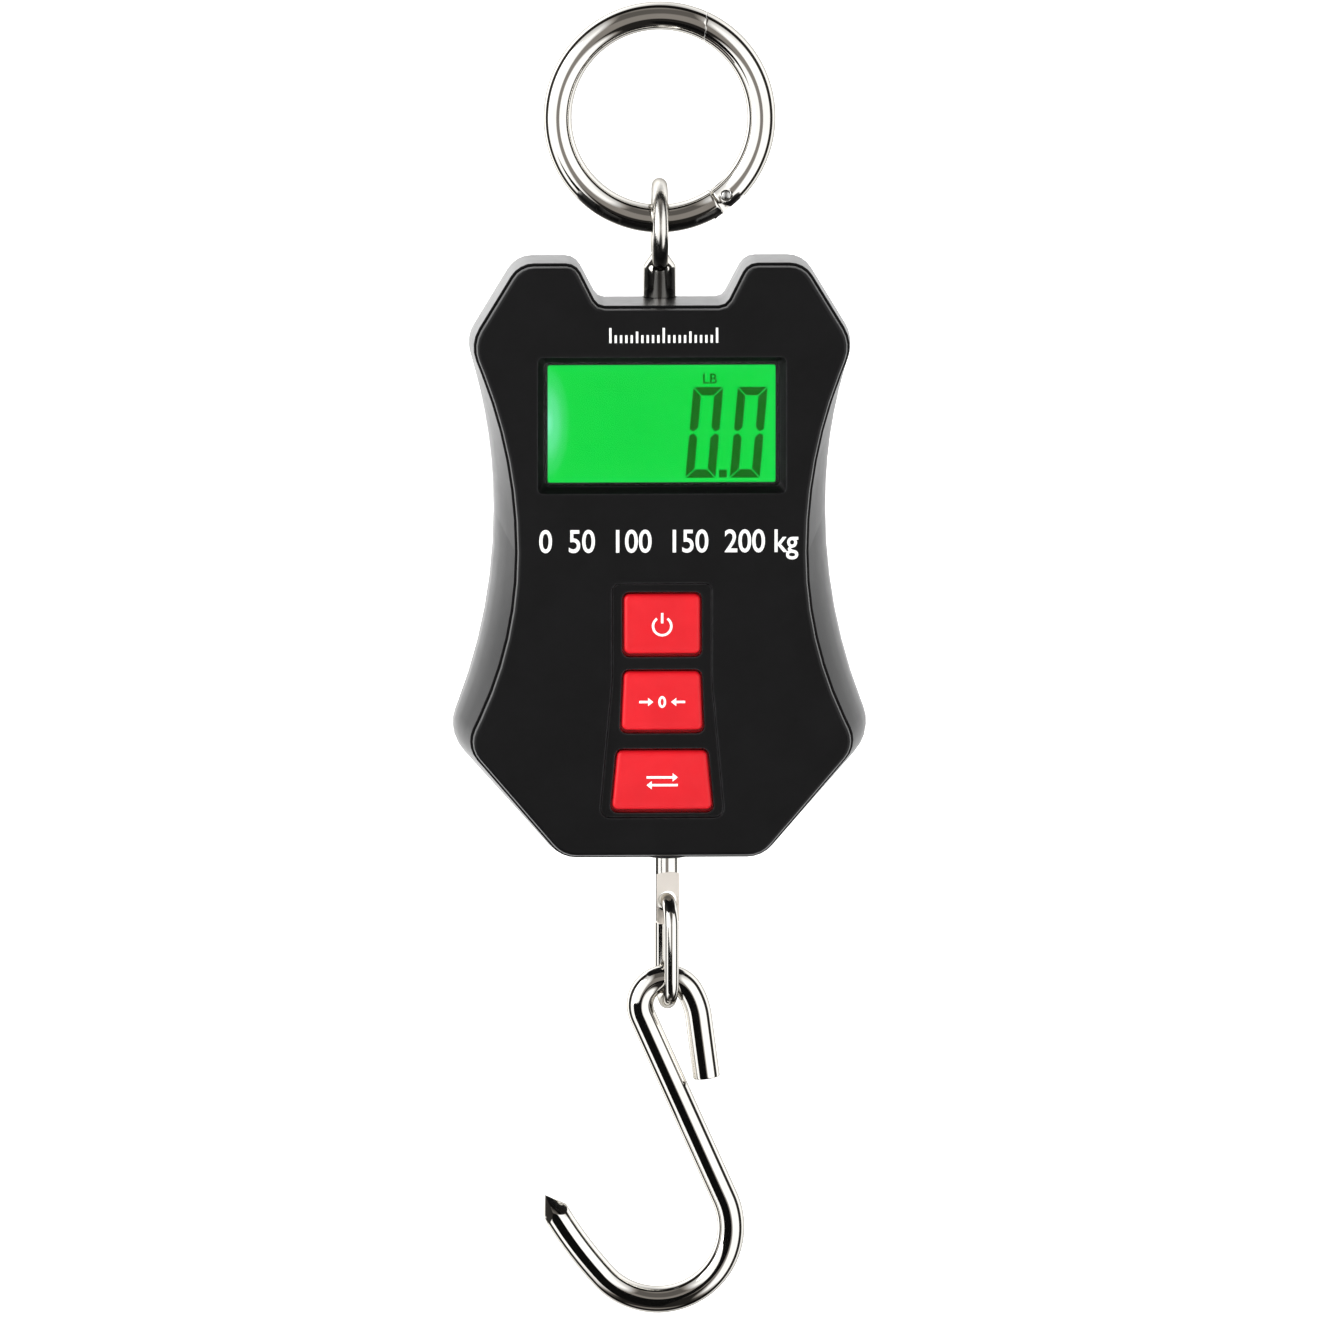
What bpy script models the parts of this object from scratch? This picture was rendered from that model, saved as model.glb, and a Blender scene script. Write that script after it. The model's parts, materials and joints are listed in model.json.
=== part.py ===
"""A digital hanging scale: a waisted case with a display and three buttons, a hinged ring on an
eye bolt above it, and a swivel stud, a link and an S-hook below it.

The case faces -Y, +X is to the right and +Z is up. The origin is on the flat back of the case,
on the load line's X and half way up the case. Run it with blender --background --python part.py.
"""
import math

import bmesh
import bpy
from mathutils import Matrix, Vector

MM = 0.001
GAP = 0.3 * MM

# Case: depths run along Y, from the flat back at 0 to the front plate.
FRONT_Y = -35.0 * MM
PLATE_BACK_Y = -32.6 * MM
RIM_Y = PLATE_BACK_Y + GAP
WIDEST_Y = -18.0 * MM
BACK_ROUND = 5.0 * MM
BACK_ROLL = 4.4 * MM
BACK_DRAFT = 1.8 * MM
WALL = 2.2 * MM
RIM_PROUD = 0.5 * MM

# Half outlines of the case, right of the load line, from the top notch to the flat bottom:
# each corner is (x, z, fillet radius), and the waist's two long arcs are large fillets.
RIM_OUTLINE = (
    (12.3, 49.1, 2.2),
    (16.4, 57.3, 3.2),
    (27.35, 57.3, 5.2),
    (36.8, 41.8, 7.1),
    (28.15, 19.6, 93.0),
    (28.15, -15.2, 74.5),
    (37.8, -35.7, 5.75),
    (19.3, -57.4, 6.3),
)
WIDEST_OUTLINE = (
    (11.95, 49.25, 2.2),
    (16.2, 57.3, 3.4),
    (27.55, 57.3, 5.4),
    (37.15, 41.5, 6.5),
    (31.9, 22.75, 100.0),
    (31.9, -11.15, 104.0),
    (40.95, -34.6, 7.5),
    (20.0, -58.0, 6.0),
)
FILLET_STEPS = (2, 3, 4, 4, 6, 6, 5, 4)

# Load line, hardware and joints.
AXIS_Y = -18.5 * MM
RING_RADIUS = 19.55 * MM
RING_WIRE = 2.7 * MM
RING_BOTTOM_Z = 64.3 * MM
SHOULDER_ANGLE = math.radians(34.0)
PIN_ANGLE = math.radians(40.5)
CATCH_INNER_ANGLE = math.radians(150.0)
CATCH_OUTER_ANGLE = math.radians(156.0)
GATE_RELIEF = math.radians(30.5)
TONGUE_HALF = 0.95 * MM
TONGUE_NOSE = 2.3 * MM
SLOT_HALF = 1.25 * MM
GATE_PIN_RADIUS = 0.9 * MM

EYE_Z = 63.0 * MM
EYE_HOLE = 4.2 * MM
EYE_OUTER = 9.1 * MM
EYE_THICKNESS = 3.0 * MM
EYE_NECK_RADIUS = 3.1 * MM
EYE_SHANK_RADIUS = 2.8 * MM

CELL_LOW = Vector((-13.0, -23.0, -26.0)) * MM
CELL_HIGH = Vector((13.0, -14.0, 36.0)) * MM
POCKET_LOW_Z = -19.5 * MM
POCKET_HIGH_Z = -9.5 * MM

STUD_X = 1.4 * MM
STUD_RADIUS = 2.5 * MM
STUD_TURN = math.radians(10.0)
STUD_END_Z = -72.2 * MM
CROSS_HOLE_Z = -67.88 * MM
CROSS_HOLE_RADIUS = 2.05 * MM
FLAT_HALF = 1.1 * MM
FLAT_TOP_Z = -61.9 * MM

LINK_WIRE = 1.4 * MM
LINK_BEND = 4.5 * MM
LINK_TOP_Z = -72.2 * MM
LINK_BOTTOM_Z = -82.9 * MM

HOOK_WIRE = 2.6 * MM
HOOK_BEND = 5.15 * MM
HOOK_BEND_Z = LINK_BOTTOM_Z - HOOK_BEND
HOOK_SHANK_ANGLE = math.radians(24.4)
HOOK_BOWL = 14.13 * MM
HOOK_BOWL_CENTRE = Vector((-1.75 * MM, 0.0, -43.35 * MM))
HOOK_POINT_LENGTH = 4.9 * MM

# Window, display stack and board.
WINDOW_Z = 26.28 * MM
WINDOW_FRONT = Vector((47.6, 26.3)) * MM
WINDOW_BACK = Vector((45.2, 23.9)) * MM
LENS_SIZE = Vector((49.0, 1.0, 27.4)) * MM
LENS_Y = -31.8 * MM
LCD_SIZE = Vector((47.6, 2.0, 26.4)) * MM
LCD_Y = -30.0 * MM
GUIDE_SIZE = Vector((44.6, 1.8, 21.6)) * MM
GUIDE_Y = -27.8 * MM
BOARD_Y = -25.6 * MM
BOARD_THICKNESS = 1.6 * MM
BOARD_FRONT_Y = BOARD_Y - BOARD_THICKNESS / 2
BOARD_BACK_Y = BOARD_Y + BOARD_THICKNESS / 2

# Button panel and buttons: half widths at the top and bottom, and the Z span.
PANEL_DEPTH = 0.6 * MM
PANEL_OUTLINE = ((9.42, -4.37, 1.2), (9.42, -23.0, 30.0), (11.83, -49.3, 1.6))
BUTTONS = {
    "power": (7.30, 7.30, -6.25, -18.10),
    "tare": (7.30, 7.80, -21.20, -32.85),
    "unit": (8.55, 9.65, -36.50, -48.20),
}
BUTTON_TOP_Y = -35.2 * MM
BUTTON_GAP = 0.4 * MM
BUTTON_TRAVEL = 0.8 * MM

# Battery compartment, open to the back.
CELL_RADIUS = 5.1 * MM
CELL_LENGTH = 44.5 * MM
CELL_X = 5.9 * MM
CELL_Y = -7.35 * MM
BAY_LOW = Vector((-11.8, -12.75, -53.3)) * MM
BAY_HIGH = Vector((11.8, 1.0, -3.3)) * MM
DOOR_HALF_WIDTH = 14.0 * MM
DOOR_TOP_Z = -2.0 * MM
DOOR_BOTTOM_Z = -54.5 * MM
DOOR_THICKNESS = 1.5 * MM
DOOR_TRAVEL = 7.0 * MM
TAB_CENTRES = (-12.0 * MM, -30.0 * MM, -48.0 * MM)
TAB_LENGTH = 5.0 * MM

CASE_SCREWS = ((23.3, 46.8), (-23.3, 46.8), (27.0, -36.5), (-27.0, -36.5))
BOARD_SCREWS = ((14.6, 43.3), (-14.6, 43.3), (14.2, -45.2), (-14.2, -45.2))

PARTS = None
CUTTERS = None


# ---------------------------------------------------------------- scene and materials

def clear_scene():
    """Remove every object and make the two collections."""
    global PARTS, CUTTERS
    for obj in list(bpy.data.objects):
        bpy.data.objects.remove(obj, do_unlink=True)
    PARTS = bpy.data.collections.new("hanging_scale")
    CUTTERS = bpy.data.collections.new("cutters")
    for group in (PARTS, CUTTERS):
        bpy.context.scene.collection.children.link(group)


def paint(obj, colour, roughness, metallic=0.0):
    """Give an object its own Principled material."""
    material = bpy.data.materials.new(obj.name + "_finish")
    material.use_nodes = True
    shader = material.node_tree.nodes["Principled BSDF"]
    shader.inputs["Base Color"].default_value = (*colour, 1.0)
    shader.inputs["Roughness"].default_value = roughness
    shader.inputs["Metallic"].default_value = metallic
    obj.data.materials.clear()
    obj.data.materials.append(material)
    return obj


def plated(obj):
    return paint(obj, (0.78, 0.76, 0.72), 0.16, 1.0)


def steel(obj):
    return paint(obj, (0.55, 0.55, 0.56), 0.35, 1.0)


def black_plastic(obj):
    return paint(obj, (0.012, 0.012, 0.013), 0.42)


# ---------------------------------------------------------------- mesh helpers

def add_mesh(name, bm, group=None):
    """Turn a bmesh into an object in the parts collection, or in the one given."""
    bmesh.ops.recalc_face_normals(bm, faces=bm.faces)
    mesh = bpy.data.meshes.new(name)
    bm.to_mesh(mesh)
    bm.free()
    obj = bpy.data.objects.new(name, mesh)
    (group or PARTS).objects.link(obj)
    return obj


def as_tool(obj):
    """Move an object to the cutters: it shapes its neighbours and isn't a part itself."""
    for group in list(obj.users_collection):
        group.objects.unlink(obj)
    CUTTERS.objects.link(obj)
    obj.hide_render = True
    obj.display_type = "WIRE"
    return obj


def boolean(target, tool, operation):
    modifier = target.modifiers.new(tool.name, "BOOLEAN")
    modifier.operation = operation
    modifier.object = as_tool(tool)
    return target


def cut(target, tool):
    return boolean(target, tool, "DIFFERENCE")


def join(target, tool):
    return boolean(target, tool, "UNION")


def smooth(obj, angle=35.0):
    obj.data.shade_smooth()
    obj.data.set_sharp_from_angle(angle=math.radians(angle))
    return obj


def box_bmesh(bm, low, high):
    """Add a box with these two corners to a bmesh."""
    low, high = Vector(low), Vector(high)
    place = Matrix.Translation((low + high) / 2) @ Matrix.Diagonal((*(high - low), 1.0))
    bmesh.ops.create_cube(bm, size=1.0, matrix=place)


def boxes(name, spans):
    """One object of separate boxes, each given by its lowest and highest corner."""
    bm = bmesh.new()
    for low, high in spans:
        box_bmesh(bm, low, high)
    return add_mesh(name, bm)


def block(name, size, centre, bevel=0.0):
    """A box whose origin is at its centre, with its edges bevelled."""
    size = Vector(size)
    bm = bmesh.new()
    box_bmesh(bm, -size / 2, size / 2)
    obj = add_mesh(name, bm)
    obj.location = centre
    if bevel:
        add_bevel(obj, bevel)
    return obj


def add_bevel(obj, width, segments=1):
    modifier = obj.modifiers.new("edges", "BEVEL")
    modifier.width = width
    modifier.segments = segments
    modifier.limit_method = "ANGLE"
    modifier.angle_limit = math.radians(40.0)
    return obj


def rod(name, start, end, radius, sides=24, end_radius=None):
    """A straight round bar from start to end, or a cone with another radius at its end."""
    start, end = Vector(start), Vector(end)
    far_radius = radius if end_radius is None else end_radius
    bm = bmesh.new()
    bmesh.ops.create_cone(bm, cap_ends=True, segments=sides, radius1=radius, radius2=far_radius,
                          depth=(end - start).length)
    obj = add_mesh(name, bm)
    obj.rotation_mode = "QUATERNION"
    obj.rotation_quaternion = Vector((0, 0, 1)).rotation_difference(end - start)
    obj.location = (start + end) / 2
    return smooth(obj)


def turned(name, profile, steps=32):
    """Turn a profile of (radius, z) points about Z. It runs down the outer side."""
    bm = bmesh.new()
    points = [bm.verts.new((radius, 0.0, z)) for radius, z in profile]
    for first, second in zip(points, points[1:]):
        bm.edges.new((first, second))
    if profile[0][0] > 0.0:
        bm.edges.new((points[-1], points[0]))
    mesh = bpy.data.meshes.new(name)
    bm.to_mesh(mesh)
    bm.free()
    obj = bpy.data.objects.new(name, mesh)
    PARTS.objects.link(obj)
    screw = obj.modifiers.new("turn", "SCREW")
    screw.steps = steps
    screw.render_steps = steps
    screw.use_merge_vertices = True
    screw.merge_threshold = 0.00001
    return obj


def washer_profile(inner, outer, low, high, chamfer=0.0):
    """A closed ring section, from its outer top corner downwards."""
    return ((outer - chamfer, high), (outer, high - chamfer), (outer, low + chamfer),
            (outer - chamfer, low), (inner, low), (inner, high))


def freeze(obj):
    """Replace an object by the mesh that it evaluates to, in place."""
    bpy.context.view_layer.update()
    graph = bpy.context.evaluated_depsgraph_get()
    mesh = bpy.data.meshes.new_from_object(obj.evaluated_get(graph), depsgraph=graph)
    name = obj.name
    place = obj.matrix_world.copy()
    bpy.data.objects.remove(obj, do_unlink=True)
    bm = bmesh.new()
    bm.from_mesh(mesh)
    bmesh.ops.remove_doubles(bm, verts=bm.verts, dist=0.000005)
    frozen = add_mesh(name, bm)
    frozen.matrix_world = place
    return frozen


def tube(name, points, radius, closed=False, resolution=2, taper=()):
    """A round wire along points, as a mesh. The last points take the taper's radius factors."""
    curve = bpy.data.curves.new(name, "CURVE")
    curve.dimensions = "3D"
    curve.bevel_depth = radius
    curve.bevel_resolution = resolution
    curve.use_fill_caps = not closed
    spline = curve.splines.new("POLY")
    spline.points.add(len(points) - 1)
    for node, point in zip(spline.points, points):
        node.co = (*point, 1.0)
    for node, factor in zip(reversed(spline.points), reversed(taper)):
        node.radius = factor
    spline.use_cyclic_u = closed
    obj = bpy.data.objects.new(name, curve)
    PARTS.objects.link(obj)
    return smooth(freeze(obj), 50.0)


def prism(name, outline, low_y, high_y):
    """A flat outline of (x, z) points, thick from low_y to high_y."""
    bm = bmesh.new()
    face = bm.faces.new([bm.verts.new((x, low_y, z)) for x, z in outline])
    side = bmesh.ops.extrude_face_region(bm, geom=[face])
    moved = [item for item in side["geom"] if isinstance(item, bmesh.types.BMVert)]
    bmesh.ops.translate(bm, verts=moved, vec=(0.0, high_y - low_y, 0.0))
    return add_mesh(name, bm)


def loft(name, sections):
    """A closed solid through rings with equal point counts, capped at both ends."""
    bm = bmesh.new()
    rings = [[bm.verts.new(point) for point in ring] for ring in sections]
    for near, far in zip(rings, rings[1:]):
        for i in range(len(near)):
            j = (i + 1) % len(near)
            bm.faces.new((near[i], near[j], far[j], far[i]))
    bm.faces.new(list(reversed(rings[0])))
    bm.faces.new(rings[-1])
    return add_mesh(name, bm)


# ---------------------------------------------------------------- outlines

def arc(centre, radius, start, end, steps):
    """Points on an arc in the XZ plane; the angles are counted from +X towards +Z."""
    angles = [start + (end - start) * i / steps for i in range(steps + 1)]
    return [(centre[0] + radius * math.cos(a), centre[1] + radius * math.sin(a)) for a in angles]


def mirrored(half):
    """A full counter-clockwise polygon from the right half, listed from top to bottom."""
    left = [(-x, z, radius) for x, z, radius in half]
    return left + list(reversed(half))


def offset(corners, distance):
    """Every side of a counter-clockwise polygon moved outwards, with its fillets adjusted."""
    moved = []
    for i, (x, z, radius) in enumerate(corners):
        here = Vector((x, z))
        before = (here - Vector(corners[i - 1][:2])).normalized()
        after = (Vector(corners[(i + 1) % len(corners)][:2]) - here).normalized()
        normal_before = Vector((before.y, -before.x))
        normal_after = Vector((after.y, -after.x))
        mitre = (normal_before + normal_after) / (1.0 + normal_before.dot(normal_after))
        turn = math.copysign(1.0, before.x * after.y - before.y * after.x)
        place = here + mitre * distance
        moved.append((place.x, place.y, max(radius + distance * turn, 0.2)))
    return moved


def filleted(corners, steps):
    """The polygon's points, with each corner replaced by an arc of its own radius."""
    points = []
    for i, (x, z, radius) in enumerate(corners):
        here = Vector((x, z))
        before = (Vector(corners[i - 1][:2]) - here).normalized()
        after = (Vector(corners[(i + 1) % len(corners)][:2]) - here).normalized()
        half = before.angle(after) / 2.0
        tangent = radius / math.tan(half)
        centre = here + (before + after).normalized() * radius / math.sin(half)
        start = here + before * tangent - centre
        sweep = start.angle_signed(here + after * tangent - centre)
        for k in range(steps[i] + 1):
            turned_by = -sweep * k / steps[i]
            spoke = Matrix.Rotation(turned_by, 2) @ start
            points.append((centre.x + spoke.x, centre.y + spoke.y))
    return points


def case_ring(y, grow=0.0, front=False):
    """The case's outline at depth y in metres, grown by some distance."""
    near = offset(mirrored(RIM_OUTLINE), -RIM_PROUD / MM if front else 0.0)
    wide = mirrored(WIDEST_OUTLINE)
    share = 0.0 if front else case_share(y)
    corners = [tuple(a + (b - a) * share for a, b in zip(p, q)) for p, q in zip(near, wide)]
    corners = offset(corners, (grow - back_roll(y)) / MM)
    steps = FILLET_STEPS + tuple(reversed(FILLET_STEPS))
    return [(x * MM, y, z * MM) for x, z in filleted(corners, steps)]


def case_share(y):
    """How far the outline has widened at depth y: 0 at the rim, 1 at the widest section."""
    run = min(max((y - RIM_Y) / (WIDEST_Y - RIM_Y), 0.0), 1.0)
    return math.sin(math.pi / 2 * run)


def back_roll(y):
    """How far the side wall has turned in at depth y, behind the widest section."""
    if y <= WIDEST_Y:
        return 0.0
    if y <= -BACK_ROUND:
        return BACK_DRAFT * (y - WIDEST_Y) / (-BACK_ROUND - WIDEST_Y)
    fall = min((y + BACK_ROUND) / BACK_ROUND, 1.0)
    return BACK_DRAFT + BACK_ROLL * (1.0 - math.sqrt(1.0 - fall * fall))


def plate_ring(half_outline, y, grow=0.0, steps=4):
    """A symmetric outline on the front plate, in metres, at depth y."""
    corners = offset(mirrored(half_outline), grow / MM)
    return [(x * MM, y, z * MM) for x, z in filleted(corners, (steps,) * len(corners))]


def rectangle(width, height, centre_z, radius):
    """Half outline, in millimetres, of a rounded rectangle centred on the load line."""
    half_width, half_height, middle = width / 2 / MM, height / 2 / MM, centre_z / MM
    return ((half_width, middle + half_height, radius), (half_width, middle - half_height, radius))


def ring_point(angle, radius=RING_RADIUS):
    """A point on the hanging ring; angle 0 is its lowest point and grows towards +X."""
    centre_z = RING_BOTTOM_Z + RING_RADIUS
    return Vector((radius * math.sin(angle), AXIS_Y, centre_z - radius * math.cos(angle)))


# ---------------------------------------------------------------- placing on joints

def axis_empty(name, place, turn=0.0):
    """An empty that stands on a joint's axis."""
    empty = bpy.data.objects.new(name, None)
    PARTS.objects.link(empty)
    empty.location = place
    empty.rotation_euler.z = turn
    empty.empty_display_size = 0.01
    return empty


def hang(obj, empty):
    """Parent a piece to its joint's empty, keeping it where it is."""
    bpy.context.view_layer.update()
    obj.parent = empty
    obj.matrix_parent_inverse = empty.matrix_world.inverted()
    return obj


# ---------------------------------------------------------------- case

def front_cover():
    """The face plate: a rounded edge, a locating lip, a window, a button panel and bosses."""
    edge = 0.8 * MM
    step_y = FRONT_Y + 1.9 * MM
    sections = [
        case_ring(FRONT_Y, -edge, front=True),
        case_ring(FRONT_Y + 0.3 * edge, -0.3 * edge, front=True),
        case_ring(FRONT_Y + edge, 0.0, front=True),
        case_ring(step_y, 0.0, front=True),
        case_ring(step_y, -0.9 * MM, front=True),
        case_ring(PLATE_BACK_Y, -0.9 * MM, front=True),
    ]
    cover = loft("front_cover", sections)
    join(cover, cover_lip())
    for i, (x, z) in enumerate(CASE_SCREWS):
        join(cover, y_rod("cover_boss_%d" % i, x, z, PLATE_BACK_Y - 0.2 * MM, -28.0 * MM, 2.9 * MM))
        cut(cover, y_rod("cover_pilot_%d" % i, x, z, PLATE_BACK_Y, -27.0 * MM, 1.4 * MM))
    for i, (x, z) in enumerate(BOARD_SCREWS):
        join(cover, y_rod("board_boss_%d" % i, x, z, PLATE_BACK_Y - 0.2 * MM,
                          BOARD_FRONT_Y - GAP, 2.0 * MM))
        cut(cover, y_rod("board_pilot_%d" % i, x, z, PLATE_BACK_Y, -26.0 * MM, 1.05 * MM))
    cut(cover, window_cutter())
    cut(cover, panel_cutter())
    for key, shape in BUTTONS.items():
        hole = button_outline(shape)
        cut(cover, loft("button_hole_" + key, [plate_ring(hole, y, BUTTON_GAP)
                                               for y in (FRONT_Y - MM, PLATE_BACK_Y + MM)]))
    return black_plastic(smooth(cover))


def cover_lip():
    """A thin wall behind the plate that seats inside the rear housing's rim."""
    low_y, high_y = PLATE_BACK_Y - 0.2 * MM, -31.2 * MM
    loops = [case_ring(y, grow, front=True) for y, grow in (
        (low_y, -2.0 * MM), (high_y, -2.0 * MM), (high_y, -3.1 * MM), (low_y, -3.1 * MM))]
    bm = bmesh.new()
    rings = [[bm.verts.new(point) for point in ring] for ring in loops]
    for near, far in zip(rings, rings[1:] + rings[:1]):
        for i in range(len(near)):
            j = (i + 1) % len(near)
            bm.faces.new((near[i], near[j], far[j], far[i]))
    return add_mesh("cover_lip", bm)


def y_rod(name, x, z, low_y, high_y, radius, sides=20):
    """A round bar along Y; x and z are in millimetres."""
    return rod(name, (x * MM, low_y, z * MM), (x * MM, high_y, z * MM), radius, sides)


def window_cutter():
    """A tapered opening that narrows from the front face to the lens."""
    slope = (WINDOW_BACK - WINDOW_FRONT) / (PLATE_BACK_Y - FRONT_Y)
    sections = []
    for y in (FRONT_Y - 0.5 * MM, PLATE_BACK_Y + 0.5 * MM):
        size = WINDOW_FRONT + slope * (y - FRONT_Y)
        sections.append(plate_ring(rectangle(size.x, size.y, WINDOW_Z, 1.0), y))
    return loft("window_opening", sections)


def panel_cutter():
    """The shallow panel, narrow above and flared below, that the buttons stand in."""
    return loft("button_panel", [
        plate_ring(PANEL_OUTLINE, FRONT_Y - 0.3 * MM, 0.35 * MM),
        plate_ring(PANEL_OUTLINE, FRONT_Y, 0.25 * MM),
        plate_ring(PANEL_OUTLINE, FRONT_Y + PANEL_DEPTH),
    ])


def rear_housing():
    """The deep shell behind the rim, with the battery bay, posts, screw tubes and load holes."""
    depths = [RIM_Y + (WIDEST_Y - RIM_Y) * share for share in (0.0, 0.22, 0.48, 0.74, 1.0)]
    depths += [-BACK_ROUND * fall for fall in (1.0, 0.55, 0.2, 0.0)]
    housing = loft("rear_housing", [case_ring(y) for y in depths])
    cut(housing, housing_cavity())
    join(housing, boxes("battery_bay", [(
        (BAY_LOW.x - 1.2 * MM, BAY_LOW.y - 0.9 * MM, BAY_LOW.z - 1.2 * MM),
        (BAY_HIGH.x + 1.2 * MM, -1.8 * MM, BAY_HIGH.z + 1.2 * MM))]))
    join(housing, boxes("door_frame", [((-16.8 * MM, -4.0 * MM, -54.6 * MM),
                                        (16.8 * MM, -1.8 * MM, -0.3 * MM))]))
    join(housing, boxes("cell_posts", [
        ((side * 14.6 * MM - 1.2 * MM, -22.0 * MM, 26.0 * MM),
         (side * 14.6 * MM + 1.2 * MM, -1.2 * MM, 33.0 * MM)) for side in (-1, 1)]))
    for i, (x, z) in enumerate(CASE_SCREWS):
        join(housing, y_rod("screw_tube_%d" % i, x, z, -27.7 * MM, -1.0 * MM, 3.6 * MM))
        cut(housing, y_rod("screw_hole_%d" % i, x, z, -29.0 * MM, 1.0 * MM, 1.6 * MM))
        cut(housing, y_rod("screw_recess_%d" % i, x, z, -6.0 * MM, 1.0 * MM, 2.8 * MM))
    cut(housing, boxes("bay_opening", [(BAY_LOW, BAY_HIGH)]))
    cut(housing, door_seat())
    cut(housing, rod("eye_hole", (0, AXIS_Y, 40 * MM), (0, AXIS_Y, 52 * MM), 3.4 * MM))
    cut(housing, rod("stud_hole", (STUD_X, AXIS_Y, -60 * MM), (STUD_X, AXIS_Y, -50 * MM), 3.7 * MM))
    return black_plastic(smooth(housing))


def housing_cavity():
    """The hollow of the shell: the case's own outline, one wall thickness in."""
    depths = [RIM_Y + (WIDEST_Y - RIM_Y) * share for share in (0.0, 0.3, 0.65, 1.0)]
    depths += [-7.0 * MM, -4.0 * MM]
    sections = [case_ring(y, -WALL) for y in depths]
    sections.insert(0, [(x, RIM_Y - MM, z) for x, y, z in sections[0]])
    sections.append([(x, -2.2 * MM, z) for x, y, z in case_ring(-4.0 * MM, -WALL - 1.4 * MM)])
    return loft("housing_cavity", sections)


def door_seat():
    """The recess for the battery door, open at the bottom, with a groove for its tabs."""
    side = DOOR_HALF_WIDTH + GAP
    floor = -DOOR_THICKNESS - GAP
    seat = boxes("door_seat", [((-side, floor, -62 * MM), (side, MM, DOOR_TOP_Z + GAP))])
    reach = side + 1.2 * MM
    spans = []
    for centre in TAB_CENTRES:
        top = centre + TAB_LENGTH / 2 + GAP
        low = centre - TAB_LENGTH / 2 - DOOR_TRAVEL - GAP
        mouth = low + TAB_LENGTH + 2 * GAP
        spans.append(((-reach, floor, low), (reach, -0.6 * MM, top)))
        spans.append(((-reach - 0.01 * MM, floor - 0.01 * MM, low - 0.01 * MM),
                      (reach + 0.01 * MM, MM, mouth)))
    for i, span in enumerate(spans):
        join(seat, boxes("tab_groove_%d" % i, [span]))
    return freeze(seat)


def battery_cover():
    """A thin sliding door that follows the rounded bottom of the case, with six side tabs."""
    door = boxes("battery_cover", [((-DOOR_HALF_WIDTH, -DOOR_THICKNESS, DOOR_BOTTOM_Z),
                                    (DOOR_HALF_WIDTH, 0.5 * MM, DOOR_TOP_Z))])
    depths = [-12.0 * MM] + [-BACK_ROUND * fall for fall in (1.0, 0.55, 0.2, 0.0)]
    shape = loft("door_limit", [case_ring(y) for y in depths])
    boolean(door, shape, "INTERSECT")
    for i, centre in enumerate(TAB_CENTRES):
        join(door, boxes("door_tab_%d" % i, [(
            (-DOOR_HALF_WIDTH - 0.9 * MM, -DOOR_THICKNESS, centre - TAB_LENGTH / 2),
            (DOOR_HALF_WIDTH + 0.9 * MM, -0.9 * MM, centre + TAB_LENGTH / 2))]))
    cut(door, boxes("grip_grooves", [((-6 * MM, -0.5 * MM, (z - 0.6) * MM),
                                      (6 * MM, MM, (z + 0.6) * MM)) for z in (-42, -45, -48)]))
    return black_plastic(door)


# ---------------------------------------------------------------- display and board

def display_stack():
    """Lens, display glass, its frame, the light guide with its lamp, and the contact strip."""
    lens = block("window_lens", LENS_SIZE, (0, LENS_Y, WINDOW_Z), 0.2 * MM)
    paint(lens, (0.85, 0.9, 0.87), 0.05)
    glass = block("lcd_panel", LCD_SIZE, (0, LCD_Y, WINDOW_Z), 0.1 * MM)
    paint(glass, (0.02, 0.65, 0.12), 0.2)
    guide = block("light_guide", GUIDE_SIZE, (0, GUIDE_Y, WINDOW_Z + 1.3 * MM), 0.15 * MM)
    paint(guide, (0.75, 0.95, 0.8), 0.3)
    lamp = block("backlight_led", (1.0 * MM, 1.4 * MM, 3.2 * MM),
                 (-23.3 * MM, GUIDE_Y, WINDOW_Z + 1.3 * MM), 0.1 * MM)
    paint(lamp, (0.9, 0.95, 0.9), 0.3)
    strip = block("zebra_strip", (42 * MM, 1.8 * MM, 2.0 * MM),
                  (0, GUIDE_Y, WINDOW_Z - 11.4 * MM), 0.1 * MM)
    paint(strip, (0.3, 0.3, 0.32), 0.7)
    frame = boxes("lcd_frame", [((-25.6 * MM, -30.9 * MM, WINDOW_Z - 14.6 * MM),
                                 (25.6 * MM, -26.7 * MM, WINDOW_Z + 14.6 * MM))])
    cut(frame, boxes("lcd_frame_hole", [((-24.4 * MM, -32 * MM, WINDOW_Z - 13.6 * MM),
                                         (24.4 * MM, -26 * MM, WINDOW_Z + 13.6 * MM))]))
    paint(frame, (0.8, 0.8, 0.78), 0.5)


def main_board():
    """The circuit board: wide behind the display, narrow behind the buttons."""
    half = ((18.2, 45.6), (18.2, 42.4), (26.0, 42.4), (26.0, 8.0), (17.8, 0.0), (17.8, -49.0))
    outline = [(-x * MM, z * MM) for x, z in half]
    outline += [(x * MM, z * MM) for x, z in reversed(half)]
    board = prism("main_board", outline, BOARD_FRONT_Y, BOARD_BACK_Y)
    for i, (x, z) in enumerate(BOARD_SCREWS):
        cut(board, y_rod("board_hole_%d" % i, x, z, -28 * MM, -24 * MM, 1.1 * MM, 16))
    paint(board, (0.03, 0.22, 0.09), 0.45)
    chip_y = BOARD_BACK_Y + GAP + 0.6 * MM
    controller = block("mcu_chip", (7 * MM, 1.2 * MM, 7 * MM), (20 * MM, chip_y, 20 * MM))
    paint(controller, (0.02, 0.02, 0.02), 0.5)
    amplifier = block("amplifier_chip", (4 * MM, 1.2 * MM, 5 * MM), (-19 * MM, chip_y, 14 * MM))
    paint(amplifier, (0.02, 0.02, 0.02), 0.5)


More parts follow.
